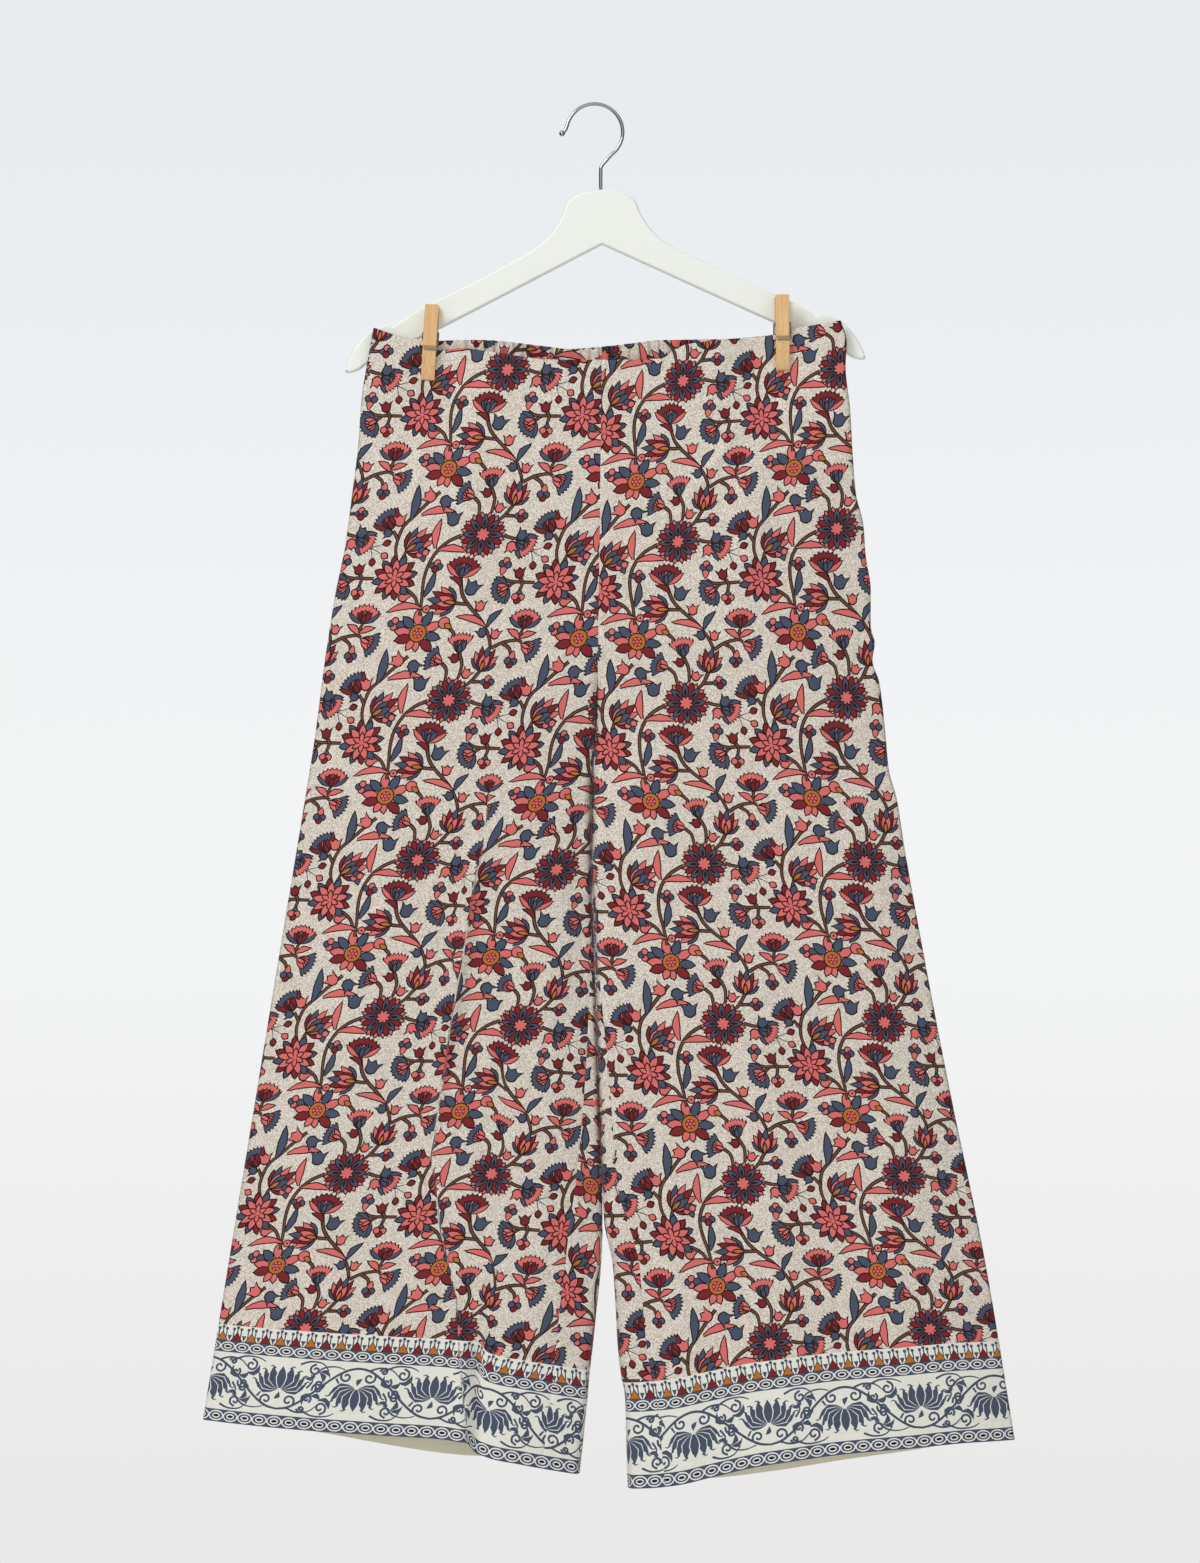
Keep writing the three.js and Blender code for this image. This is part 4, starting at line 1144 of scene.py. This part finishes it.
def groove_points(panel):
    """Places for vertices beside the inner seam, the hem's stitching and the leg's inner edge."""
    from_seam, v = np.meshgrid(BESIDE_SEAM, np.arange(panel.v[0] + 1, panel.v[-1] - 1, 3.0))
    points = [panel.flat((from_seam / np.interp(v, panel.v, panel.total)).ravel(), v.ravel())]
    height, fraction = np.meshgrid(HEM_STITCH + np.arange(-1.8, 2.0, 0.9), np.linspace(0.004, 0.996, 110))
    points.append(panel.flat(fraction.ravel(), RISE + INSEAM - height.ravel() / DRAPE))
    if panel.face == "back":
        for j in np.flatnonzero(panel.v[:-1] > RISE):
            there = BESIDE_EDGE[BESIDE_EDGE > panel.e[j, 0] + 0.4]
            fraction = np.interp(there, panel.e[j], panel.along[j]) / panel.total[j]
            points.append(panel.flat(fraction, np.full(len(there), panel.v[j])))
    return np.concatenate(points)


def wound(triangles, places, normals, way):
    """The triangles, turned over where they don't face along the normals (way 1) or against them (-1)."""
    corners = places[triangles]
    facing = np.cross(corners[:, 1] - corners[:, 0], corners[:, 2] - corners[:, 0])
    agree = np.sum(facing * normals[triangles[:, 0]]) * way
    return triangles[:, ::-1] if agree < 0 else triangles


def line_sheet(panel, box, ring):
    """Flat vertices and triangles of the inside, and the vertices that stand on the ring, in its order."""
    backwards = twice_area(ring) < 0
    ring = ring[::-1] if backwards else ring
    flat, triangles, _, origins = triangulate(ring, [], grid_points(panel, box, LINING_STEP))
    place = {origin: i for i, found in enumerate(origins) for origin in found}
    order = np.array([place[k] for k in range(len(ring))])
    return flat, triangles, order[::-1] if backwards else order


def add_rim(cloth, loops, outer, inner, normals, flat, bake):
    """Joins the outside to the inside along the loops, with vertices of its own, shaded across the edge.

    All but the loops are places along them, one after the other.
    """
    count = len(outer)
    here = np.arange(count)
    starts = np.cumsum([0] + [len(loop) for loop in loops[:-1]])
    following = [start + np.roll(np.arange(len(loop)), -1) for start, loop in zip(starts, loops)]
    after = np.concatenate(following)
    triangles = np.concatenate([np.stack([after, here, here + count], axis=1),
                                np.stack([after, here + count, after + count], axis=1)])
    outwards = np.cross(outer[after] - outer, normals)
    outwards /= np.maximum(np.linalg.norm(outwards, axis=1, keepdims=True), 1e-9)
    # Rims beside the seams take the painted seam shadow, a dark colour for the shade in the gap between
    # panels; the others take the ground's cream.
    painted_shade_rims = np.abs(outwards[:, :1]) > 0.7
    colours = np.tile(np.where(painted_shade_rims, PAINTED_SEAM_SHADE, GROUND), (2, 1))
    cloth.add(np.concatenate([outer, inner]), triangles, np.tile(outwards, (2, 1)), colours,
              np.tile(flat, (2, 1)), np.tile(bake, (2, 1)))


def add_sheet(cloth, panel, shapes, step, fine, strips, lining):
    """Adds one panel: its printed outside, its inside and the rim between them. Gives the flat size.

    fine is as in grid_points, and strips are the parts of the baked image's width for the outside and the
    inside. lining is the colour of the inside, or None where the print shows there too.
    """
    outline = panel.border(260, 150)
    box = (outline[:, 0].min(), outline[:, 0].max(), outline[:, 1].min(), outline[:, 1].max())
    points = grid_points(panel, box, step, fine)
    if lining is not None:
        points = np.concatenate([points, groove_points(panel)])
    flat, triangles, shades = inked(outline, shapes, points)
    middle, normals = panel.hang(*flat.T), panel.normals(*flat.T)
    colours = np.array([LINEAR[shade] for shade in shades.tolist()])
    triangles = wound(triangles, middle, normals, 1)
    bake = bake_coordinates(flat, box, *strips[0])
    cloth.add(middle + normals * OUTER, triangles, normals, colours, flat, bake)
    loops = rim_loops(triangles)
    rim = np.concatenate([np.array(loop) for loop in loops])
    if lining is None:
        under, under_triangles, under_colours, under_rim = flat, triangles[:, ::-1], colours, rim
    else:
        under, under_triangles, under_rim = line_sheet(panel, box, flat[rim])
        under_colours = np.tile(lining, (len(under_triangles), 1))
    under_middle, under_normals = panel.hang(*under.T), panel.normals(*under.T)
    under_triangles = wound(under_triangles, under_middle, under_normals, -1)
    inner = under_middle + under_normals * (OUTER - CLOTH)
    cloth.add(inner, under_triangles, -under_normals, under_colours, under,
              bake_coordinates(under, box, *strips[1]))
    outer_rim = middle[rim] + normals[rim] * OUTER
    add_rim(cloth, loops, outer_rim, inner[under_rim], normals[rim], flat[rim], bake[rim])
    area = abs(twice_area(outline)) / 2
    return (box[1] - box[0]) * MM, (box[3] - box[2]) * MM, area * MM * MM


def cloth_box(panel):
    """The flat cloth's least and greatest p, then q."""
    outline = panel.border(60, 40)
    return outline[:, 0].min(), outline[:, 0].max(), outline[:, 1].min(), outline[:, 1].max()


def build_panel(leg, face):
    first = CASING if face == "back" else 0.0
    panel = Panel(leg, face, first, RISE + INSEAM, REFERENCE[leg, face])
    hem_q = RISE + INSEAM * DRAPE
    shapes = panel_print(panel, cloth_box(panel), FIRST_STAR[leg, face], hem_q, BORDER_PHASE[leg, face])
    cloth = Cloth()
    fine = None
    if face == "back":
        fine = ((150, 20, GATHER_FADE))
    size = add_sheet(cloth, panel, shapes, PRINT_STEP, fine, ((0.0, 0.8), (0.82, 1.0)), INSIDE)
    piece = cloth.build(f"{face}_panel_{leg}_cloth")
    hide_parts(f"{face}_panel_{leg}")
    return piece


def build_casing():
    cloth = Cloth()
    for i, leg in enumerate(("left", "right")):
        panel = Panel(leg, "back", 0.0, CASING - SEAM_GAP, REFERENCE[leg, "back"])
        shapes = panel_print(panel, cloth_box(panel), FIRST_STAR[leg, "back"], None, 0)
        low = 0.4 * i
        strips = ((low, low + 0.39), (0.82 + 0.09 * i, 0.90 + 0.09 * i))
        add_sheet(cloth, panel, shapes, CASING_STEP, (150, 8, CASING - 1), strips, None)
    piece = cloth.build("waistband_back_cloth")
    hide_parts("waistband_back")
    return piece


# ---------- materials ----------
class Nodes:
    """Short-hand for building the nodes of a material or a world."""

    def __init__(self, owner, shader="Principled BSDF"):
        self.owner = owner
        owner.use_nodes = True
        self.tree = owner.node_tree
        self.shader = self.tree.nodes[shader]

    def source(self, kind, output):
        return self.tree.nodes.new(kind).outputs[output]

    def node(self, kind, **inputs):
        made = self.tree.nodes.new(kind)
        for key, value in inputs.items():
            self.put(made, key.replace("_", " ").title(), value)
        return made

    def put(self, node, socket, value):
        target = node.inputs[socket]
        if isinstance(value, bpy.types.NodeSocket):
            self.tree.links.new(value, target)
        else:
            target.default_value = value

    def math(self, operation, a, b=0.0, c=0.0):
        made = self.tree.nodes.new("ShaderNodeMath")
        made.operation = operation
        for index, value in enumerate((a, b, c)):
            self.put(made, index, value)
        return made.outputs[0]

    def blend(self, mode, factor, a, b):
        made = self.tree.nodes.new("ShaderNodeMix")
        made.data_type = "RGBA"
        made.blend_type = mode
        for index, value in ((0, factor), (6, a), (7, b)):
            self.put(made, index, value)
        return made.outputs[2]

    def uv(self, layer, scale):
        source = self.tree.nodes.new("ShaderNodeUVMap")
        source.uv_map = layer
        mapping = self.node("ShaderNodeMapping", vector=source.outputs[0], scale=scale)
        return mapping.outputs[0]

    def noise(self, vector, scale, detail=2.0, roughness=0.5):
        settings = {"scale": scale, "detail": detail, "roughness": roughness}
        return self.node("ShaderNodeTexNoise", vector=vector, **settings).outputs[0]

    def ramp(self, value, low, high):
        made = self.node("ShaderNodeMapRange", value=value, from_min=low, from_max=high)
        return made.outputs[0]

    def bump(self, height, strength, distance, below=None):
        made = self.node("ShaderNodeBump", height=height, strength=strength, distance=distance)
        if below is not None:
            self.put(made, "Normal", below)
        return made.outputs[0]


def cloth_material():
    m = Nodes(bpy.data.materials.new("printed_cotton"))
    # The attribute holds the print's dyes, the lining's colour and the painted seam shadow of the rims.
    dye_and_shade = m.tree.nodes.new("ShaderNodeAttribute")
    dye_and_shade.attribute_name = "DyeAndPaintedShade"
    ground = m.ramp(dye_and_shade.outputs["Alpha"], 0.6, 0.9)
    flat = m.uv("Grain", (1.0, 1.0, 1.0))
    dashes = m.noise(flat, 84.0, 1.0, 0.4)
    worm = m.math("ABSOLUTE", m.math("SUBTRACT", dashes, 0.5))
    mark = m.math("MULTIPLY", m.ramp(worm, 0.105, 0.055), ground)
    taupe = opaque(0.61, 0.55, 0.48)
    colour = m.blend("MIX", m.math("MULTIPLY", mark, 0.72), dye_and_shade.outputs["Color"], taupe)
    patchy = m.math("MULTIPLY_ADD", m.noise(flat, 60.0, 3.0, 0.6), 0.2, 0.86)
    grey = m.node("ShaderNodeCombineColor", red=patchy, green=patchy, blue=patchy)
    colour = m.blend("MULTIPLY", 1.0, colour, grey.outputs[0])
    m.put(m.shader, "Base Color", colour)
    m.put(m.shader, "Roughness", 0.88)
    m.put(m.shader, "Specular IOR Level", 0.18)
    m.put(m.shader, "Sheen Weight", 0.12)
    m.put(m.shader, "Sheen Roughness", 0.5)
    warp = m.node("ShaderNodeTexWave", vector=flat, scale=62.0, distortion=0.6)
    weft = m.tree.nodes.new("ShaderNodeTexWave")
    weft.bands_direction = "Y"
    m.put(weft, "Vector", flat)
    m.put(weft, "Scale", 62.0)
    m.put(weft, "Distortion", 0.6)
    weave = m.math("ADD", warp.outputs[1], weft.outputs[1])
    crumple = m.noise(m.uv("Grain", (1.0, 0.55, 1.0)), 7.0, 4.0, 0.55)
    relief = m.bump(crumple, 0.5, 0.0025)
    m.put(m.shader, "Normal", m.bump(weave, 0.12, 0.0002, relief))
    return m.owner


def painted_material():
    m = Nodes(bpy.data.materials.new("white_paint"))
    place = m.source("ShaderNodeTexCoord", "Object")
    cloudy = m.noise(place, 30.0, 3.0)
    tone = m.blend("MIX", m.math("MULTIPLY", cloudy, 0.3), (0.80, 0.82, 0.745, 1), (0.76, 0.78, 0.705, 1))
    m.put(m.shader, "Base Color", tone)
    m.put(m.shader, "Roughness", 0.38)
    brushed = m.noise(place, 220.0, 2.0)
    m.put(m.shader, "Normal", m.bump(brushed, 0.06, 0.0004))
    return m.owner


def peg_material():
    m = Nodes(bpy.data.materials.new("peg_wood_grain"))
    place = m.source("ShaderNodeTexCoord", "Object")
    along = m.node("ShaderNodeMapping", vector=place, scale=(900.0, 900.0, 30.0)).outputs[0]
    grain = m.noise(along, 1.0, 4.0, 0.6)
    fine = m.node("ShaderNodeMapping", vector=place, scale=(3000.0, 3000.0, 60.0)).outputs[0]
    pores = m.math("MULTIPLY", m.ramp(m.noise(fine, 1.0, 2.0), 0.6, 0.75), 0.35)
    tone = m.blend("MIX", m.ramp(grain, 0.35, 0.7), opaque(0.88, 0.73, 0.51), opaque(0.77, 0.59, 0.37))
    tone = m.blend("MULTIPLY", pores, tone, (0.55, 0.42, 0.3, 1))
    m.put(m.shader, "Base Color", tone)
    m.put(m.shader, "Roughness", 0.55)
    m.put(m.shader, "Normal", m.bump(grain, 0.15, 0.0004))
    return m.owner


def metal_material(name, colour, roughness):
    m = Nodes(bpy.data.materials.new(name))
    place = m.source("ShaderNodeTexCoord", "Object")
    smudge = m.noise(place, 90.0, 2.0)
    m.put(m.shader, "Base Color", colour)
    m.put(m.shader, "Metallic", 1.0)
    m.put(m.shader, "Roughness", m.math("MULTIPLY_ADD", smudge, 0.12, roughness))
    return m.owner


def floor_material():
    m = Nodes(bpy.data.materials.new("floor_paint"))
    m.put(m.shader, "Base Color", (0.80, 0.80, 0.80, 1))
    m.put(m.shader, "Roughness", 0.9)
    m.put(m.shader, "Specular IOR Level", 0.1)
    return m.owner


# ---------- hanger, hook and pegs ----------
def tube(points, radius, sides=16):
    """Vertices and faces of a round wire through the points, closed at both ends."""
    points = np.array(points, float)
    way = np.gradient(points, axis=0)
    way /= np.linalg.norm(way, axis=1, keepdims=True)
    side = np.cross(way[0], (0, 0, 1.0) if abs(way[0][2]) < 0.9 else (0, 1.0, 0))
    rings = []
    for point, forward in zip(points, way):
        side = side - forward * np.dot(side, forward)
        side /= np.linalg.norm(side)
        up = np.cross(forward, side)
        angles = np.linspace(0, 2 * np.pi, sides, endpoint=False)[:, None]
        rings.append(point + radius * (np.cos(angles) * side + np.sin(angles) * up))
    faces = []
    for j in range(len(rings) - 1):
        for k in range(sides):
            a, b = j * sides + k, j * sides + (k + 1) % sides
            faces.append((a, b, b + sides, a + sides))
    faces.append(tuple(range(sides))[::-1])
    faces.append(tuple(range((len(rings) - 1) * sides, len(rings) * sides)))
    return np.concatenate(rings), faces


HOOK_WIRE_R = 1.5
HOOK_R = 23.3
HOOK_BALL_R = 2.5
STEM_X = 5.1
HANGER_TOP = (5.1, 0.0, -70.0)
HANGER_TILT = math.radians(1.5)
HANGER_THICK = 10.0


def ball(centre, radius, rings=12, sides=20):
    """Vertices and faces of a ball with flat ends."""
    vertices, faces = [], []
    for j in range(1, rings):
        for k in range(sides):
            lat, lon = math.pi * j / rings, 2 * math.pi * k / sides
            vertices.append((centre[0] + radius * math.sin(lat) * math.cos(lon),
                             centre[1] + radius * math.sin(lat) * math.sin(lon),
                             centre[2] + radius * math.cos(lat)))
    for j in range(rings - 2):
        for k in range(sides):
            a, b = j * sides + k, j * sides + (k + 1) % sides
            faces.append((a, a + sides, b + sides, b))
    last = (rings - 2) * sides
    return vertices, faces + [tuple(range(sides)), tuple(range(last, last + sides))[::-1]]


def build_hook():
    centre = HOOK_WIRE_R - HOOK_R
    tip = (-HOOK_R - 3.6, 0, centre - 1.2)
    points = [tip, (-HOOK_R - 0.6, 0, centre + 2.2)]
    for degrees in range(160, -45, -6):
        angle = math.radians(degrees)
        points.append((HOOK_R * math.cos(angle), 0, centre + HOOK_R * math.sin(angle)))
    points += [(13.0, 0, -41.6), (8.2, 0, -47.2), (5.6, 0, -50.6), (STEM_X, 0, -55), (STEM_X, 0, -70)]
    vertices, faces = tube(smooth_line(points, even(3)), HOOK_WIRE_R, 20)
    ball_vertices, ball_faces = ball(tip, HOOK_BALL_R)
    start = len(vertices)
    faces = faces + [tuple(i + start for i in face) for face in ball_faces]
    return link_mesh("hook_wire", np.concatenate([vertices, ball_vertices]), faces)


def slab(outline, thickness, bevel, steps=5):
    """Vertices, faces and normals of a plate in x and z with rounded edges.

    The outline runs anticlockwise, and the plate is centred on y = 0.
    """
    outline = np.array(outline, float)
    way = np.roll(outline, -1, axis=0) - np.roll(outline, 1, axis=0)
    way /= np.linalg.norm(way, axis=1, keepdims=True)
    inwards = np.stack([-way[:, 1], way[:, 0]], axis=1)
    rings, normals = [], []
    for side in (-1, 1):
        angles = np.linspace(0, np.pi / 2, steps) if side > 0 else np.linspace(np.pi / 2, 0, steps)
        for angle in angles:
            out = -inwards * math.cos(angle)
            up = np.full(len(out), side * math.sin(angle))
            normals.append(np.stack([out[:, 0], up, out[:, 1]], axis=1))
            ring = outline + inwards * bevel * (1 - math.cos(angle))
            y = side * (thickness / 2 - bevel * (1 - math.sin(angle)))
            rings.append(np.stack([ring[:, 0], np.full(len(ring), y), ring[:, 1]], axis=1))
    count = len(outline)
    faces = []
    for j in range(len(rings) - 1):
        for k in range(count):
            a, b = j * count + k, j * count + (k + 1) % count
            faces.append((a, a + count, b + count, b))
    last = (len(rings) - 1) * count
    cap = rings[0][:, [0, 2]]
    for a, b, c in tessellate_polygon([[Vector((x, z, 0)) for x, z in cap]]):
        turn = np.cross(cap[b] - cap[a], cap[c] - cap[a])
        a, b, c = (a, b, c) if turn > 0 else (a, c, b)
        faces += [(a, b, c), (a + last, c + last, b + last)]
    return np.concatenate(rings), faces, np.concatenate(normals)


# The right half of the hanger's outline, from the neck: (across, height).
HANGER_HALF = [
    (11, -1.2), (21, -4.6), (27.2, -9.0), (29.6, -13), (32.5, -20.4), (40.6, -33.6), (52, -44.4),
    (67.6, -54.2), (83.4, -61.8), (100, -70.4), (144, -91), (157, -97.5), (170.6, -105.6),
    (175.5, -109), (181, -107.7), (197, -114.5), (208, -127.5), (215, -142.6), (213.6, -146),
    (204, -143.6), (192.6, -136.5), (147, -116.5), (92, -90), (50, -69.5), (12, -51.0), (2.5, -46.4),
]


def tilted(points, tilt, origin):
    """The points turned in the hanger's plane, then moved by the origin's distances."""
    c, s = math.cos(tilt), math.sin(tilt)
    points = np.asarray(points, float)
    x = points[:, 0] * c - points[:, 2] * s
    z = points[:, 0] * s + points[:, 2] * c
    return np.stack([x, points[:, 1], z], axis=1) + np.array(origin)


def build_hanger():
    right = [(0.0, 0.0)] + HANGER_HALF + [(0.0, -45.6)]
    left = [(-x, z) for x, z in reversed(HANGER_HALF)]
    loop = right + left
    line = smooth_line(loop[-1:] + loop + loop[:2], even(6))[6:-12]
    vertices, faces, normals = slab(line[::-1], HANGER_THICK, 2.0)
    place = tilted(vertices, HANGER_TILT, HANGER_TOP)
    return link_mesh("hanger_painted_body", place, faces, True, tilted(normals, HANGER_TILT, (0, 0, 0)))


# Along the peg (s) from the handle ends; its profile is (s, depth from the middle).
GROOVE_S = 36.5
GROOVE_DEPTH = 7.3
SPRING_S = 22.4
SPRING_R = 2.0
SPRING_TURNS = 5.5
SPRING_WIRE_R = 0.62
PEG_PROFILE = [
    (0.4, 5.4), (8, 5.0), (17, 4.4), (19.5, 3.2), (25.5, 3.2), (30, 2.75), (45, 2.68), (PEG_LENGTH, 2.6),
    (PEG_LENGTH + 0.1, 3.4), (PEG_LENGTH - 0.8, 4.4), (56, 6.2), (GROOVE_S + 8, 7.9), (GROOVE_S + 2.6, 8.7),
    (GROOVE_S + 1.1, GROOVE_DEPTH), (GROOVE_S - 1.1, GROOVE_DEPTH), (GROOVE_S - 2.6, 9.0),
    (30, 9.2), (12, 9.2), (0.6, 9.2), (0.0, 8.6), (0.0, 6.0),
]


def peg_place(points, peg):
    """From the peg's own axes (x across, y depth, z up from the handle ends) into the frame."""
    lean = math.radians(peg["lean"])
    points = np.asarray(points, float)
    x = points[:, 0] * math.cos(lean) + points[:, 2] * math.sin(lean)
    z = -points[:, 0] * math.sin(lean) + points[:, 2] * math.cos(lean)
    return np.stack([x + peg["x"], points[:, 1] + PLANE_Y, z + peg["z"]], axis=1)


def build_peg_leg(peg, face):
    """One wooden leg of a peg; face is -1 for the front one and 1 for the back one."""
    outline = densify(anticlockwise([(face * y, -s) for s, y in PEG_PROFILE]), 1.6)
    vertices, faces, _ = slab(outline, PEG_WIDTH, 0.55, 4)
    turned_round = np.stack([-vertices[:, 1], vertices[:, 0], vertices[:, 2]], axis=1)
    name = f"peg_{peg['side']}_{'front' if face < 0 else 'back'}"
    piece = link_mesh(f"{name}_leg", peg_place(turned_round, peg), faces, False)
    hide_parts(name)
    return piece


def build_spring(peg):
    """A coil between the legs, and an arm from each of its ends round to the groove of a leg."""
    flank = PEG_WIDTH / 2 + 1.0
    groove = GROOVE_DEPTH + SPRING_WIRE_R + 0.43
    steps = round(SPRING_TURNS * 24)
    coil = []
    for k in range(steps + 1):
        angle = math.pi + k * math.pi / 12
        place = (SPRING_R * math.cos(angle), SPRING_R * math.sin(angle) - SPRING_S)
        coil.append((mix(flank, -flank, k / steps), *place))
    arm = [(flank, groove - 2.2, GROOVE_S - 2.6), (flank, groove - 0.4, GROOVE_S - 0.4),
           (flank - 1.6, groove, GROOVE_S), (0, groove, GROOVE_S), (-4.6, groove, GROOVE_S)]
    front_arm = [(x, -y, -s) for x, y, s in arm][::-1]
    back_arm = [(-x, y, -s) for x, y, s in arm]
    front_line = smooth_line(front_arm + [coil[0]], even(6))[:-1]
    back_line = smooth_line([coil[-1]] + back_arm, even(6))[1:]
    vertices, faces = tube(np.concatenate([front_line, coil, back_line]), SPRING_WIRE_R, 12)
    piece = link_mesh(f"peg_{peg['side']}_spring_wire", peg_place(vertices, peg), faces)
    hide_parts(f"peg_{peg['side']}_spring")
    return piece


# ---------- scene ----------
def dress(piece, material):
    """Gives a piece its material and slot, and the body it rides on."""
    piece.data.materials.append(material)
    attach(piece, "root")


cotton = cloth_material()
for leg in ("left", "right"):
    for face in ("front", "back"):
        dress(build_panel(leg, face), cotton)
dress(build_casing(), cotton)

hook = build_hook()
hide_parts("hook")
dress(hook, metal_material("chrome", (0.34, 0.34, 0.35, 1), 0.08))
hanger = build_hanger()
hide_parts("hanger_body")
dress(hanger, painted_material())
wood, steel = peg_material(), metal_material("spring_wire", (0.30, 0.29, 0.28, 1), 0.3)
for peg in PEGS:
    for face in (-1, 1):
        dress(build_peg_leg(peg, face), wood)
    dress(build_spring(peg), steel)

# ---------- floor, lights and camera ----------
FLOOR_Z = -1800.0
FLOOR_R = 1100.0
# The backdrop's tones: a painted falloff of light, darker a little towards the bottom and the top than in
# the middle.
LOW_WALL = opaque(0.918, 0.914, 0.912)
MIDDLE_WALL = opaque(0.953, 0.957, 0.961)
HIGH_WALL = opaque(0.906, 0.922, 0.935)
ROOM_FRONT = (0.85, 0.86, 0.88, 1.0)
ROOM_SIDE = (0.078, 0.078, 0.08, 1.0)
rim_angles = np.linspace(0, 2 * np.pi, 64, endpoint=False)
floor_rim = [(FLOOR_R * math.cos(a), FLOOR_R * math.sin(a), FLOOR_Z) for a in rim_angles]
floor = link_mesh("floor", floor_rim, [tuple(range(len(floor_rim)))], False)
floor.data.materials.append(floor_material())


def area_light(name, place, aim, size, power, colour):
    light = bpy.data.lights.new(name, "AREA")
    light.shape = "RECTANGLE"
    light.size, light.size_y = size
    light.energy = power
    light.color = colour
    lamp = bpy.data.objects.new(name, light)
    lamp.location = place
    lamp.rotation_euler = (Vector(aim) - Vector(place)).to_track_quat("-Z", "Y").to_euler()
    bpy.context.scene.collection.objects.link(lamp)


area_light("window", (-3.8, -4.4, 3.2), (0.0, 0.0, -0.6), (2.4, 2.4), 225.0, (1.0, 1.0, 1.0))
area_light("room", (1.4, -3.2, -0.4), (0.0, 0.0, -0.6), (3.0, 3.0), 12.0, (1.0, 0.99, 0.97))


def room_light():
    """A pale backdrop, seen only by the camera, with painted falloff of light that makes it a little darker
    upwards and downwards, and a bright room with darker sides round it.
    """
    m = Nodes(bpy.data.worlds.new("room"), "Background")
    way = m.node("ShaderNodeSeparateXYZ", vector=m.source("ShaderNodeTexCoord", "Generated")).outputs
    sideways = m.math("ABSOLUTE", way[0])
    low = m.blend("MIX", m.ramp(way[2], -0.19, -0.05), LOW_WALL, MIDDLE_WALL)
    backdrop = m.blend("MIX", m.ramp(way[2], 0.0, 0.2), low, HIGH_WALL)
    room = m.blend("MIX", m.ramp(sideways, 0.5, 0.8), ROOM_FRONT, ROOM_SIDE)
    seen = m.source("ShaderNodeLightPath", "Is Camera Ray")
    m.put(m.shader, "Color", m.blend("MIX", seen, room, backdrop))
    return m.owner


bpy.context.scene.world = room_light()
bpy.context.scene.view_settings.view_transform = "Standard"

camera_data = bpy.data.cameras.new("camera")
camera_data.sensor_width = 36.0
camera_data.sensor_fit = "AUTO"
camera_data.lens = 83.86
camera = bpy.data.objects.new("camera", camera_data)
camera.location = (0.0045, -3.017, -0.560)
camera.rotation_euler = (math.pi / 2, 0, 0)
bpy.context.scene.collection.objects.link(camera)
bpy.context.scene.camera = camera
